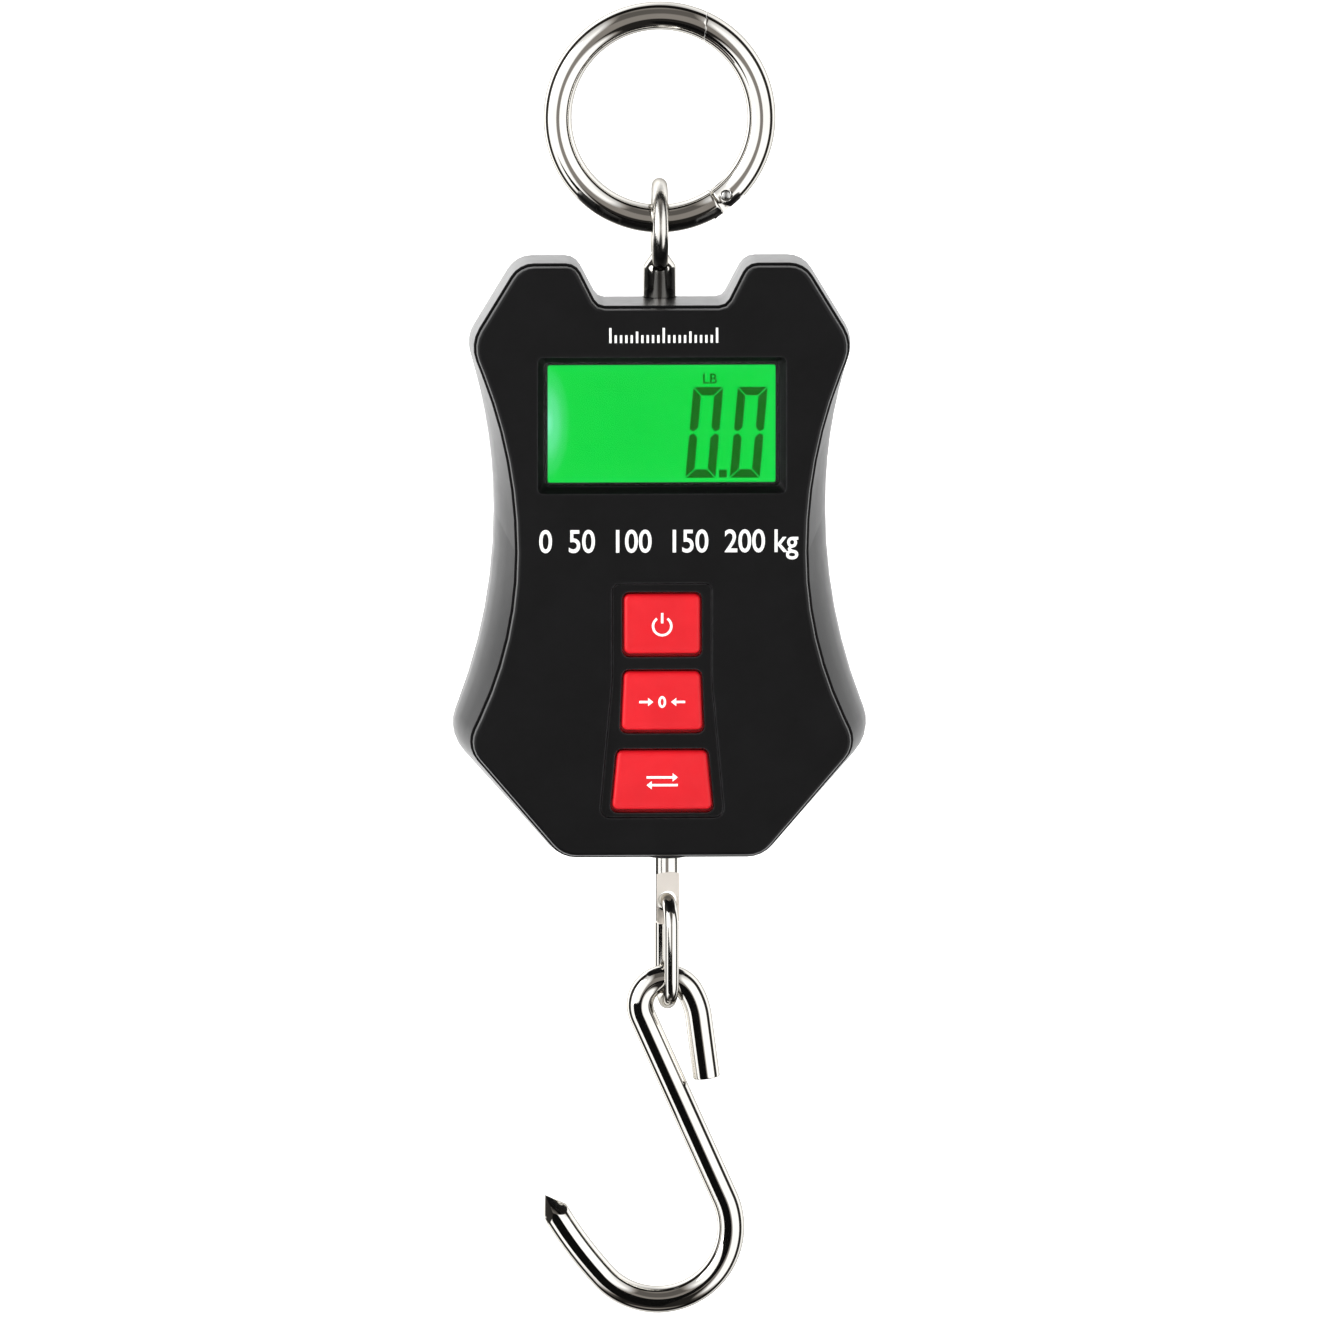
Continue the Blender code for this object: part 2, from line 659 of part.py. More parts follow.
def button_outline(shape):
    """Half outline of a button, in millimetres."""
    top_half, bottom_half, top_z, bottom_z = shape
    return ((top_half, top_z, 1.0), (bottom_half, bottom_z, 1.0))


def button(key, shape):
    """A red key cap with a flange behind the plate, and the switch that it presses."""
    outline = button_outline(shape)
    middle = (shape[2] + shape[3]) / 2 * MM
    empty = axis_empty("button_%s_axis" % key, (0, BUTTON_TOP_Y, middle))
    flange_y = PLATE_BACK_Y + GAP
    sections = [(BUTTON_TOP_Y, -0.6), (BUTTON_TOP_Y + 0.15 * MM, -0.2),
                (BUTTON_TOP_Y + 0.6 * MM, 0.0), (flange_y, 0.0), (flange_y, 1.2),
                (flange_y + 0.8 * MM, 1.2)]
    cap = loft("button_" + key, [plate_ring(outline, y, grow * MM, 3) for y, grow in sections])
    hang(paint(smooth(cap), (0.75, 0.012, 0.02), 0.38), empty)

    switch_top = -30.2 * MM
    switch_back = BOARD_FRONT_Y - GAP
    body = block("switch_" + key, (6 * MM, switch_back - switch_top, 6 * MM),
                 (0, (switch_top + switch_back) / 2, middle), 0.2 * MM)
    cut(body, rod("switch_bore_" + key, (0, switch_top - MM, middle),
                  (0, switch_top + 2.2 * MM, middle), 2.0 * MM))
    paint(body, (0.05, 0.05, 0.05), 0.5)
    plunger = rod("switch_plunger_" + key, (0, flange_y + 0.8 * MM + GAP, middle),
                  (0, switch_top + 0.9 * MM, middle), 1.6 * MM, 20)
    hang(paint(plunger, (0.75, 0.7, 0.6), 0.4), empty)


# ---------------------------------------------------------------- load path

def load_cell():
    """An S-shaped beam: two slots from opposite sides and a window for the gauges between."""
    cell = boxes("load_cell", [(CELL_LOW, CELL_HIGH)])
    low_y, high_y = CELL_LOW.y - MM, CELL_HIGH.y + MM
    cut(cell, boxes("cell_slots", [
        ((CELL_LOW.x - MM, low_y, 21.0 * MM), (7.0 * MM, high_y, 23.0 * MM)),
        ((-7.0 * MM, low_y, -3.0 * MM), (CELL_HIGH.x + MM, high_y, -1.0 * MM)),
        ((STUD_X - 5.5 * MM, low_y, POCKET_LOW_Z), (STUD_X + 5.5 * MM, high_y, POCKET_HIGH_Z))]))
    window = ((8.0, 14.5, 3.0), (8.0, 5.5, 3.0))
    cut(cell, loft("cell_window", [plate_ring(window, y, 0.0, 5) for y in (low_y, high_y)]))
    cut(cell, rod("cell_top_hole", (0, AXIS_Y, 27.2 * MM), (0, AXIS_Y, 38 * MM), 3.1 * MM))
    cut(cell, rod("cell_stud_hole", (STUD_X, AXIS_Y, -28 * MM), (STUD_X, AXIS_Y, -19 * MM),
                  3.6 * MM))
    paint(smooth(cell), (0.72, 0.73, 0.75), 0.35, 1.0)
    for i, (x, z) in enumerate(((-3.2, 14.3), (3.2, 14.3), (-3.2, 5.7), (3.2, 5.7))):
        gauge = block("strain_gauge_%d" % (i + 1), (3.4 * MM, 4.0 * MM, 0.2 * MM),
                      (x * MM, AXIS_Y, z * MM))
        paint(gauge, (0.75, 0.45, 0.1), 0.4)


def eye_bolt():
    """A flat eye above a chamfered collar, with a shank that screws into the load cell."""
    half = EYE_THICKNESS / 2
    soft = 0.7 * MM
    section = [(EYE_OUTER - soft, half), (EYE_OUTER - 0.2 * MM, half - 0.25 * MM)]
    section += [(EYE_OUTER, half - soft), (EYE_OUTER, soft - half)]
    section += [(EYE_OUTER - 0.2 * MM, 0.25 * MM - half), (EYE_OUTER - soft, -half)]
    section += [(EYE_HOLE + soft, -half), (EYE_HOLE, soft - half)]
    section += [(EYE_HOLE, half - soft), (EYE_HOLE + soft, half)]
    eye = turned("eye_bolt", section, 36)
    eye.rotation_euler.y = math.pi / 2
    eye.location = (0, AXIS_Y, EYE_Z)
    eye = freeze(eye)
    chamfer = 1.0 * MM
    collar_top = 56.1 * MM
    shank = turned("eye_shank", (
        (0.0, collar_top), (EYE_NECK_RADIUS - chamfer, collar_top),
        (EYE_NECK_RADIUS, collar_top - chamfer), (EYE_NECK_RADIUS, 49.3 * MM),
        (EYE_SHANK_RADIUS, 49.0 * MM), (EYE_SHANK_RADIUS, 28.4 * MM),
        (EYE_SHANK_RADIUS - 0.5 * MM, 27.9 * MM), (0.0, 27.9 * MM)))
    shank.location = (0, AXIS_Y, 0)
    join(eye, shank)
    plated(smooth(eye))
    washer = turned("eye_washer", washer_profile(3.1 * MM, 5.8 * MM, 36.3 * MM, 37.4 * MM))
    washer.location = (0, AXIS_Y, 0)
    steel(washer)
    steel(hex_nut("eye_nut", 9.8 * MM, 3.1 * MM, 0.0, 37.7 * MM, 42.2 * MM))


def hex_nut(name, across_flats, bore, x, low_z, high_z):
    """A hexagonal nut about a vertical line at this x."""
    nut = rod(name, (x, AXIS_Y, low_z), (x, AXIS_Y, high_z), across_flats / math.sqrt(3), 6)
    nut.data.shade_flat()
    return cut(nut, rod(name + "_bore", (x, AXIS_Y, low_z - MM), (x, AXIS_Y, high_z + MM), bore))


def ring_arc(start, end, steps):
    """Points on the hanging ring's centre line between two angles."""
    return [ring_point(start + (end - start) * i / steps) for i in range(steps + 1)]


def catch_cutter(name, keep_side, gap):
    """A block on one side of the slanted cut where the gate's free end meets the ring."""
    inner = ring_point(CATCH_INNER_ANGLE, RING_RADIUS - RING_WIRE)
    outer = ring_point(CATCH_OUTER_ANGLE, RING_RADIUS + RING_WIRE)
    along = (outer - inner).normalized()
    across = Vector((-along.z, 0.0, along.x)) * keep_side
    start = inner - along * 3 * MM + across * gap
    end = outer + along * 3 * MM + across * gap
    corners = (start, end, end + across * 6 * MM, start + across * 6 * MM)
    outline = [(corner.x, corner.z) for corner in corners]
    return prism(name, outline, AXIS_Y - 4 * MM, AXIS_Y + 4 * MM)


def hinge_frame():
    """The pin's place on the ring, the direction along the gate, and the outward direction."""
    along = Vector((math.cos(PIN_ANGLE), 0.0, math.sin(PIN_ANGLE)))
    outward = Vector((math.sin(PIN_ANGLE), 0.0, -math.cos(PIN_ANGLE)))
    return ring_point(PIN_ANGLE), along, outward


def flat_outline(points):
    return [(point.x, point.z) for point in points]


def ring_body():
    """The open ring: a shoulder and a flat tongue at the hinge, a slanted face at the catch."""
    start = math.radians(144.0) - 2 * math.pi
    body = tube("ring_body", ring_arc(start, SHOULDER_ANGLE, 58), RING_WIRE, resolution=4)
    cut(body, catch_cutter("ring_catch_face", -1.0, 0.0))
    pin, along, outward = hinge_frame()
    root = pin - along * 4.6 * MM
    nose = [pin + TONGUE_NOSE * (outward * math.cos(a) + along * math.sin(a))
            for a in (math.pi * k / 10 for k in range(11))]
    outline = flat_outline([root - outward * TONGUE_NOSE, root + outward * TONGUE_NOSE] + nose)
    join(body, prism("ring_tongue", outline, AXIS_Y - TONGUE_HALF, AXIS_Y + TONGUE_HALF))
    bore = GATE_PIN_RADIUS + 0.15 * MM
    reach = Vector((0, 4 * MM, 0))
    cut(body, rod("tongue_bore", pin - reach, pin + reach, bore, 16))
    return plated(smooth(body, 50.0))


def ring_gate():
    """The hinged arc: two cheeks beside the tongue, relieved on the outside of the hinge."""
    nose_angle = SHOULDER_ANGLE + 0.3 * MM / RING_RADIUS
    gate = tube("ring_gate", ring_arc(nose_angle, math.radians(162.0), 34), RING_WIRE, resolution=4)
    cut(gate, catch_cutter("gate_catch_face", 1.0, -GAP))
    pin, along, outward = hinge_frame()
    far = pin + along * (TONGUE_NOSE + GAP)
    near = pin - along * 6 * MM
    slot = flat_outline([near - outward * 5 * MM, near + outward * 5 * MM,
                         far + outward * 5 * MM, far - outward * 5 * MM])
    cut(gate, prism("gate_slot", slot, AXIS_Y - SLOT_HALF, AXIS_Y + SLOT_HALF))
    apex = ring_point(nose_angle)
    face = Vector((math.sin(nose_angle), 0.0, -math.cos(nose_angle)))
    tilt = Matrix.Rotation(-GATE_RELIEF, 3, "Y")
    wedge = flat_outline([apex - face * 0.02 * MM, apex + face * 6 * MM - along * MM,
                          apex + face * 6 * MM, apex + tilt @ face * 6 * MM])
    cut(gate, prism("gate_relief", wedge, AXIS_Y - 4 * MM, AXIS_Y + 4 * MM))
    reach = Vector((0, 4 * MM, 0))
    cut(gate, rod("gate_bore", pin - reach, pin + reach, GATE_PIN_RADIUS + 0.2 * MM, 16))
    middle, run = spring_line()
    cut(gate, rod("spring_bore", middle - run * 3.0 * MM, middle + run * 3.0 * MM, 1.15 * MM, 16))
    return plated(smooth(gate, 50.0))


def spring_line():
    """The middle and the direction of the straight bore behind the hinge's slot."""
    angle = PIN_ANGLE + 5.3 * MM / RING_RADIUS
    return ring_point(angle), Vector((math.cos(angle), 0.0, math.sin(angle)))


def hanging_ring():
    """The ring, its gate, the hinge pin and the spring that closes the gate."""
    tilt_axis = axis_empty("ring_tilt_axis", ring_point(0.0))
    pin, along, outward = hinge_frame()
    gate_axis = hang(axis_empty("gate_axis", pin), tilt_axis)
    hang(ring_body(), tilt_axis)
    hang(ring_gate(), gate_axis)
    reach = Vector((0, 2.6 * MM, 0))
    hang(steel(rod("gate_pin", pin - reach, pin + reach, GATE_PIN_RADIUS, 16)), tilt_axis)
    middle, run = spring_line()
    spring = coil("gate_spring", 0.72 * MM, 0.18 * MM, 4.6 * MM, 5)
    spring.rotation_mode = "QUATERNION"
    spring.rotation_quaternion = Vector((0, 0, 1)).rotation_difference(run)
    spring.location = middle + run * 0.3 * MM
    hang(steel(spring), gate_axis)


def coil(name, radius, wire, length, turns, end_radius=None, per_turn=8):
    """A compression spring about Z, centred on its own origin; it may taper to its far end."""
    far = radius if end_radius is None else end_radius
    count = turns * per_turn
    points = []
    for i in range(count + 1):
        share = i / count
        reach = radius + (far - radius) * share
        angle = 2 * math.pi * turns * share
        points.append((reach * math.cos(angle), reach * math.sin(angle), length * (share - 0.5)))
    return tube(name, points, wire, resolution=1)


def lower_stud():
    """A swivel stud with a milled end, its nut, washer, bush and the case's grommet."""
    axis = axis_empty("stud_swivel_axis", (STUD_X, AXIS_Y, 0), STUD_TURN)
    stud = turned("lower_stud", (
        (0.0, -11.0 * MM), (1.7 * MM, -11.0 * MM), (2.0 * MM, -11.3 * MM), (2.0 * MM, -17.15 * MM),
        (STUD_RADIUS, -17.15 * MM), (STUD_RADIUS, STUD_END_Z + 0.6 * MM),
        (STUD_RADIUS - 0.6 * MM, STUD_END_Z), (0.0, STUD_END_Z)))
    shoulder = STUD_RADIUS * 0.9
    for side in (-1, 1):
        cut(stud, milled_flat("stud_flat_%d" % (side + 1), side, shoulder))
    cut(stud, rod("stud_cross_hole", (0, -5 * MM, CROSS_HOLE_Z), (0, 5 * MM, CROSS_HOLE_Z),
                  CROSS_HOLE_RADIUS, 20))
    stud = freeze(stud)
    stud.matrix_world = axis.matrix_world
    place_on_axis(plated(smooth(stud)), axis)
    nut = steel(hex_nut("stud_nut", 7.0 * MM, 2.2 * MM, STUD_X, -16.7 * MM, -12.6 * MM))
    hang(nut, axis)
    washer = turned("thrust_washer", washer_profile(2.75 * MM, 4.2 * MM, -18.0 * MM, -17.2 * MM))
    washer.location = (STUD_X, AXIS_Y, 0)
    steel(washer)
    bush = turned("stud_bush", (
        (4.2 * MM, -18.4 * MM), (4.2 * MM, -19.2 * MM), (3.4 * MM, -19.2 * MM),
        (3.4 * MM, -25.8 * MM), (2.75 * MM, -25.8 * MM), (2.75 * MM, -18.4 * MM)))
    bush.location = (STUD_X, AXIS_Y, 0)
    paint(bush, (0.55, 0.4, 0.2), 0.4, 1.0)
    grommet = turned("stud_grommet", (
        (4.6 * MM, -54.1 * MM), (4.6 * MM, -54.85 * MM), (3.4 * MM, -54.85 * MM),
        (3.4 * MM, -58.4 * MM), (3.8 * MM, -58.4 * MM), (3.8 * MM, -59.1 * MM),
        (2.85 * MM, -59.1 * MM), (2.85 * MM, -54.1 * MM)))
    grommet.location = (STUD_X, AXIS_Y, 0)
    black_plastic(grommet)


def place_on_axis(obj, axis):
    """Parent a piece that was modelled about its joint's own axis."""
    obj.parent = axis
    obj.matrix_parent_inverse = Matrix.Identity(4)
    obj.matrix_basis = Matrix.Identity(4)
    return obj


def milled_flat(name, side, shoulder):
    """A cutter for one flat of the stud, with the round shoulder that the mill leaves."""
    half = 3.5 * MM
    low, high = sorted((side * FLAT_HALF, side * 6 * MM))
    top = arc((0.0, FLAT_TOP_Z - shoulder), half, math.pi, 0.0, 8)
    outline = [(x, FLAT_TOP_Z - shoulder + (z - FLAT_TOP_Z + shoulder) * shoulder / half)
               for x, z in top]
    outline += [(half, STUD_END_Z - MM), (-half, STUD_END_Z - MM)]
    return prism(name, outline, low, high)


def chain_link():
    """An oval loop of wire through the stud's cross hole."""
    points = []
    for centre_z, start in ((LINK_TOP_Z, 0.0), (LINK_BOTTOM_Z, math.pi)):
        points += [(0.0, y, z) for y, z in arc((0.0, centre_z), LINK_BEND, start,
                                               start + math.pi, 12)]
    link = tube("chain_link", points, LINK_WIRE, closed=True, resolution=4)
    axis = axis_empty("link_swing_axis", (STUD_X, AXIS_Y, LINK_TOP_Z), STUD_TURN)
    link.location = (0, 0, -LINK_TOP_Z)
    link.parent = axis
    plated(link)


def hook_line():
    """The hook's centre line in XZ, from its short leg to its point, about its upper bend."""
    leg_angle = math.radians(7.5)
    ease_angle = math.radians(30.0)
    ease_radius = 13.15 * MM
    bend_end = (HOOK_BEND * math.cos(ease_angle), HOOK_BEND * math.sin(ease_angle))
    ease_centre = (bend_end[0] - ease_radius * math.cos(ease_angle),
                   bend_end[1] - ease_radius * math.sin(ease_angle))
    leg = arc(ease_centre, ease_radius, leg_angle, ease_angle, 4)
    leg_length = 12.1 * MM
    tip = (leg[0][0] + leg_length * math.sin(leg_angle), leg[0][1] - leg_length * math.cos(leg_angle))
    upper = arc((0.0, 0.0), HOOK_BEND, ease_angle, math.pi + HOOK_SHANK_ANGLE, 14)
    centre = (HOOK_BOWL_CENTRE.x, HOOK_BOWL_CENTRE.z)
    rise = math.radians(42.0)
    bowl = arc(centre, HOOK_BOWL, HOOK_SHANK_ANGLE, -math.pi + rise, 22)
    arm_radius = 80.0 * MM
    arm_centre = (bowl[-1][0] + arm_radius * math.cos(rise), bowl[-1][1] + arm_radius * math.sin(rise))
    arm = arc(arm_centre, arm_radius, -math.pi + rise, -math.pi + math.radians(31.5), 3)
    last = math.radians(31.5)
    end = (arm[-1][0] - HOOK_POINT_LENGTH * math.sin(last),
           arm[-1][1] + HOOK_POINT_LENGTH * math.cos(last))
    return [tip] + leg + upper[1:] + bowl + arm[1:] + [end]


def s_hook():
    """The S-hook, in the plane of the case's face, with its short leg to the right."""
    points = [(x, 0.0, z) for x, z in hook_line()]
    hook = tube("s_hook", points, HOOK_WIRE, resolution=4, taper=(1.0, 0.12))
    axis = axis_empty("hook_swing_axis", (STUD_X, AXIS_Y, HOOK_BEND_Z))
    hook.parent = axis
    return plated(hook)


# ---------------------------------------------------------------- batteries and fasteners

def batteries():
    """Two cells side by side, one up and one down, with their contacts."""
    nub = 1.0 * MM
    profile = ((0.0, CELL_LENGTH), (1.9 * MM, CELL_LENGTH), (1.9 * MM, CELL_LENGTH - nub),
               (CELL_RADIUS - 0.4 * MM, CELL_LENGTH - nub), (CELL_RADIUS, CELL_LENGTH - nub - 0.4 * MM),
               (CELL_RADIUS, 0.3 * MM), (CELL_RADIUS - 0.3 * MM, 0.0), (0.0, 0.0))
    left = turned("battery_left", profile)
    left.location = (-CELL_X, CELL_Y, -48.7 * MM)
    right = turned("battery_right", profile)
    right.location = (CELL_X, CELL_Y, -7.8 * MM)
    right.rotation_euler.x = math.pi
    for cell in (left, right):
        paint(smooth(freeze(cell)), (0.04, 0.05, 0.07), 0.3, 0.6)
    plate_z = BAY_LOW.z + 0.5 * MM
    for name, x in (("contact_plate_left", -CELL_X), ("contact_plate_right", CELL_X)):
        steel(block(name, (8 * MM, 9 * MM, 0.4 * MM), (x, CELL_Y, plate_z)))
    bridge_z = BAY_HIGH.z - 0.45 * MM
    steel(block("contact_bridge", (21 * MM, 9 * MM, 0.3 * MM), (0, CELL_Y, bridge_z)))
    left_spring = coil("contact_spring_left", 3.4 * MM, 0.3 * MM, 2.6 * MM, 3, 2.2 * MM)
    left_spring.location = (-CELL_X, CELL_Y, -50.6 * MM)
    right_spring = coil("contact_spring_right", 2.2 * MM, 0.3 * MM, 2.4 * MM, 3, 3.4 * MM)
    right_spring.location = (CELL_X, CELL_Y, -5.85 * MM)
    for spring in (left_spring, right_spring):
        steel(spring)


def screw_mesh(name, head_radius, head_height, shank_radius, shank_length):
    """A pan-head screw along Y with a cross recess; its head's seat is at the origin."""
    crown = 0.3 * head_height
    screw = turned(name, (
        (0.0, head_height), (head_radius - crown, head_height), (head_radius, head_height - crown),
        (head_radius, 0.0), (shank_radius, 0.0), (shank_radius, -shank_length + 0.8 * MM),
        (0.0, -shank_length)), 14)
    slot = 0.18 * head_radius
    for turn in (0, 1):
        wide, narrow = (0.62 * head_radius, slot) if turn else (slot, 0.62 * head_radius)
        cut(screw, boxes("%s_recess_%d" % (name, turn), [(
            (-wide, -narrow, 0.45 * head_height), (wide, narrow, head_height + MM))]))
    screw.rotation_euler.x = -math.pi / 2
    frozen = freeze(screw)
    mesh = frozen.data
    mesh.transform(frozen.matrix_world)
    bpy.data.objects.remove(frozen, do_unlink=True)
    return mesh


def fasteners():
    """Four long screws through the case and four short ones through the board."""
    long_screw = screw_mesh("long_screw", 2.4 * MM, 1.9 * MM, 1.15 * MM, 23.5 * MM)
    short_screw = screw_mesh("short_screw", 1.8 * MM, 1.2 * MM, 0.8 * MM, 6.0 * MM)
    groups = (("case_screw", long_screw, CASE_SCREWS, -5.7 * MM),
              ("board_screw", short_screw, BOARD_SCREWS, BOARD_BACK_Y + GAP))
    for name, mesh, places, seat_y in groups:
        for i, (x, z) in enumerate(places):
            obj = bpy.data.objects.new("%s_%d" % (name, i + 1), mesh)
            PARTS.objects.link(obj)
            obj.location = (x * MM, seat_y, z * MM)
            if i == 0:
                steel(smooth(obj))


def wires():
    """The load cell's cable and the two battery leads, all to the back of the board."""
    board_back = BOARD_BACK_Y / MM + 0.95
    routes = {
        "cell_cable": ([(13.6, -18.5, 0.5), (16.0, -18.6, 2.0), (17.6, -20.4, 4.5),
                        (18.4, board_back + 0.5, 7.0), (18.6, board_back + 0.2, 11.5)], 0.8),
        "battery_wire_red": ([(-14.0, -11.0, -44.0), (-16.5, -13.0, -40.0), (-16.6, -20.0, -34.0),
                              (-15.5, board_back, -28.0), (-15.0, board_back, -22.0)], 0.55),
        "battery_wire_black": ([(14.0, -11.0, -44.0), (16.5, -13.0, -40.0), (16.6, -20.0, -34.0),
                                (15.5, board_back, -28.0), (15.0, board_back, -22.0)], 0.55),
    }
    colours = {"cell_cable": (0.5, 0.5, 0.5), "battery_wire_red": (0.6, 0.02, 0.02),
               "battery_wire_black": (0.02, 0.02, 0.02)}
    for name, (route, radius) in routes.items():
        points = [tuple(value * MM for value in point) for point in bend_through(route)]
        paint(tube(name, points, radius * MM), colours[name], 0.5)


def bend_through(route, steps=4):
    """Points on a smooth line through the route's points, by Catmull-Rom blending."""
    ends = [route[0]] + list(route) + [route[-1]]
    points = []
    for p0, p1, p2, p3 in zip(ends, ends[1:], ends[2:], ends[3:]):
        a, b, c, d = (Vector(p) for p in (p0, p1, p2, p3))
        for k in range(steps):
            t = k / steps
            points.append(0.5 * (2 * b + (c - a) * t + (2 * a - 5 * b + 4 * c - d) * t * t
                                 + (3 * b - a - 3 * c + d) * t ** 3))
    return points + [Vector(route[-1])]


def main():
    clear_scene()
    front_cover()
    rear_housing()
    battery_cover()
    display_stack()
    main_board()
    for key, shape in BUTTONS.items():
        button(key, shape)
    load_cell()
    eye_bolt()
    hanging_ring()
    lower_stud()
    chain_link()
    s_hook()
    batteries()
    fasteners()
    wires()


main()
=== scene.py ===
"""Looks for the digital hanging scale: smooth plated hardware, satin moulded case, lit display,
moulded keys and white printing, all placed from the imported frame."""
import json
import math

import bmesh
import bpy
from mathutils import Matrix, Vector


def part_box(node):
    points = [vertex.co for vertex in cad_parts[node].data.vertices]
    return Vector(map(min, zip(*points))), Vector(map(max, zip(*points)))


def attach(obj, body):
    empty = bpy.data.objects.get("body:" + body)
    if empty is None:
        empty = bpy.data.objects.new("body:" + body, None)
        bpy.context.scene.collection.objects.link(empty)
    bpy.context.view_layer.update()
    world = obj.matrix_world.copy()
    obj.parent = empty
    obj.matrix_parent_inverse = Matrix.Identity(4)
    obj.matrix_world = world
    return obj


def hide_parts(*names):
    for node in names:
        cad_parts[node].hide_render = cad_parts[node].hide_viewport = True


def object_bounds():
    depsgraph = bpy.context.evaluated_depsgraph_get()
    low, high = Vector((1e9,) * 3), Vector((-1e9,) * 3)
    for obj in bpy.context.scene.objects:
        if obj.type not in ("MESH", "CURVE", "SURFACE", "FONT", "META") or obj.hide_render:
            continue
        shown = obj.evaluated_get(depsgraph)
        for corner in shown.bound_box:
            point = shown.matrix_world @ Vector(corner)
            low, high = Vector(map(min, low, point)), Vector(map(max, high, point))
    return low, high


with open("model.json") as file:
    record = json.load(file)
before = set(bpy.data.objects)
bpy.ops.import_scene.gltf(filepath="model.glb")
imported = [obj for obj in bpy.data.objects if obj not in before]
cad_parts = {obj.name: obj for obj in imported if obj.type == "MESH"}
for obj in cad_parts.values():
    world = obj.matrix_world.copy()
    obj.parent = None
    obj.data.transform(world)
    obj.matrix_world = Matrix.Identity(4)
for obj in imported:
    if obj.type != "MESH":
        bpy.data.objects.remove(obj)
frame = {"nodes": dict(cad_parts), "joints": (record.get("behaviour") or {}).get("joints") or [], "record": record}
CAD_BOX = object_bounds()

MM = 0.001
NODES = frame["nodes"]
JOINTS = {joint["name"]: joint for joint in frame["joints"]}
SLOT_OF = {part["node"]: part["material_slot"] for part in frame["record"]["subparts"]}


def joint_place(name):
    return Vector(JOINTS[name]["pos_m"])


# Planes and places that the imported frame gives.
FRONT_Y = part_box("front_cover")[0].y
LCD_LOW, LCD_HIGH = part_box("lcd_panel")
RING_BOTTOM = joint_place("ring_tilt")
GATE_PIN = joint_place("gate_open")
LINK_TOP = joint_place("link_swing")
HOOK_TOP = joint_place("hook_swing")
AXIS_Y = RING_BOTTOM.y
RING_WIRE = (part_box("ring_body")[1].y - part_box("ring_body")[0].y) / 2
RING_RADIUS = (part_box("ring_body")[1].z - RING_WIRE - RING_BOTTOM.z) / 2
RING_CENTRE = RING_BOTTOM + Vector((0, 0, RING_RADIUS))
PIN_ANGLE = math.atan2(GATE_PIN.x - RING_CENTRE.x, RING_CENTRE.z - GATE_PIN.z)

# Ring details.
SHOULDER_ANGLE = math.radians(34.0)
CATCH_INNER_ANGLE = math.radians(150.0)
CATCH_OUTER_ANGLE = math.radians(156.0)
GATE_RELIEF = math.radians(30.5)
TONGUE_HALF = 0.95 * MM
TONGUE_NOSE = 2.3 * MM
SLOT_HALF = 1.25 * MM
JOINT_GAP = 0.3 * MM
CATCH_GAP = 0.12 * MM
RING_START = math.radians(144.0 - 360.0)
GATE_END = math.radians(162.0)
TONGUE_ROOT = 4.6 * MM
RING_BORE = 1.05 * MM
GATE_BORE = 1.1 * MM
RING_EDGE = 0.06 * MM

# How far the cutting blocks reach past the ring's wire: in depth, and in the ring's plane.
CUT_DEPTH = 4 * MM
CUT_PAST = 3 * MM
CUT_SIDE = 5 * MM
CUT_REACH = 6 * MM

# Eye bolt, link and hook.
EYE_Z = 63.0 * MM
EYE_HOLE = 4.2 * MM
EYE_OUTER = 9.1 * MM
EYE_HALF = 1.5 * MM
NECK_RADIUS = 3.1 * MM
COLLAR_Z = 55.3 * MM
COLLAR_HEIGHT = 2.6 * MM
COLLAR_LEVEL = 2.2 * MM
SHANK_RADIUS = 2.8 * MM
STUD_TURN = math.radians(10.0)
FLAT_HALF = 1.1 * MM
FLAT_TOP_Z = -61.9 * MM
FLAT_SIDE = 2.2 * MM
LINK_WIRE = 1.4 * MM
LINK_BEND = 4.5 * MM
HOOK_WIRE = 2.6 * MM
HOOK_BEND = 5.15 * MM
HOOK_SHANK_ANGLE = math.radians(24.4)
HOOK_BOWL = 14.13 * MM
HOOK_BOWL_CENTRE = (-1.75 * MM, -43.35 * MM)
HOOK_POINT_LENGTH = 4.9 * MM
HOOK_BLUNT = 0.12 * MM
FACET_TURN_DEGREES = 8.0

# Keys: half widths at the top and bottom, then the Z span, in mm. KEY_DIP is how deep the face
# dips, at these distances from the key's edge, in mm.
KEYS = {
    "power": (7.30, 7.30, -6.25, -18.10),
    "tare": (7.30, 7.80, -21.20, -32.85),
    "unit": (8.55, 9.65, -36.50, -48.20),
}
KEY_FOOT = 0.4 * MM
KEY_EDGE = 0.75 * MM
KEY_DIP = ((1.4, 0.02), (2.4, 0.07), (3.5, 0.10))
FLANGE_REACH = 1.2 * MM
FLANGE_THICKNESS = 0.8 * MM


# ---------------------------------------------------------------- node helpers

def add_node(tree, kind, settings=None, **inputs):
    """Adds a shader node; inputs are values or sockets, by name with _ for a space."""
    made = tree.nodes.new("ShaderNode" + kind)
    for name, value in (settings or {}).items():
        setattr(made, name, value)
    for name, value in inputs.items():
        plug(tree, made.inputs[name.replace("_", " ")], value)
    return made


def plug(tree, socket, value):
    if isinstance(value, bpy.types.NodeSocket):
        tree.links.new(value, socket)
    else:
        socket.default_value = value


def calc(tree, operation, *values):
    made = tree.nodes.new("ShaderNodeMath")
    made.operation = operation
    for socket, value in zip(made.inputs, values):
        plug(tree, socket, value)
    return made.outputs[0]


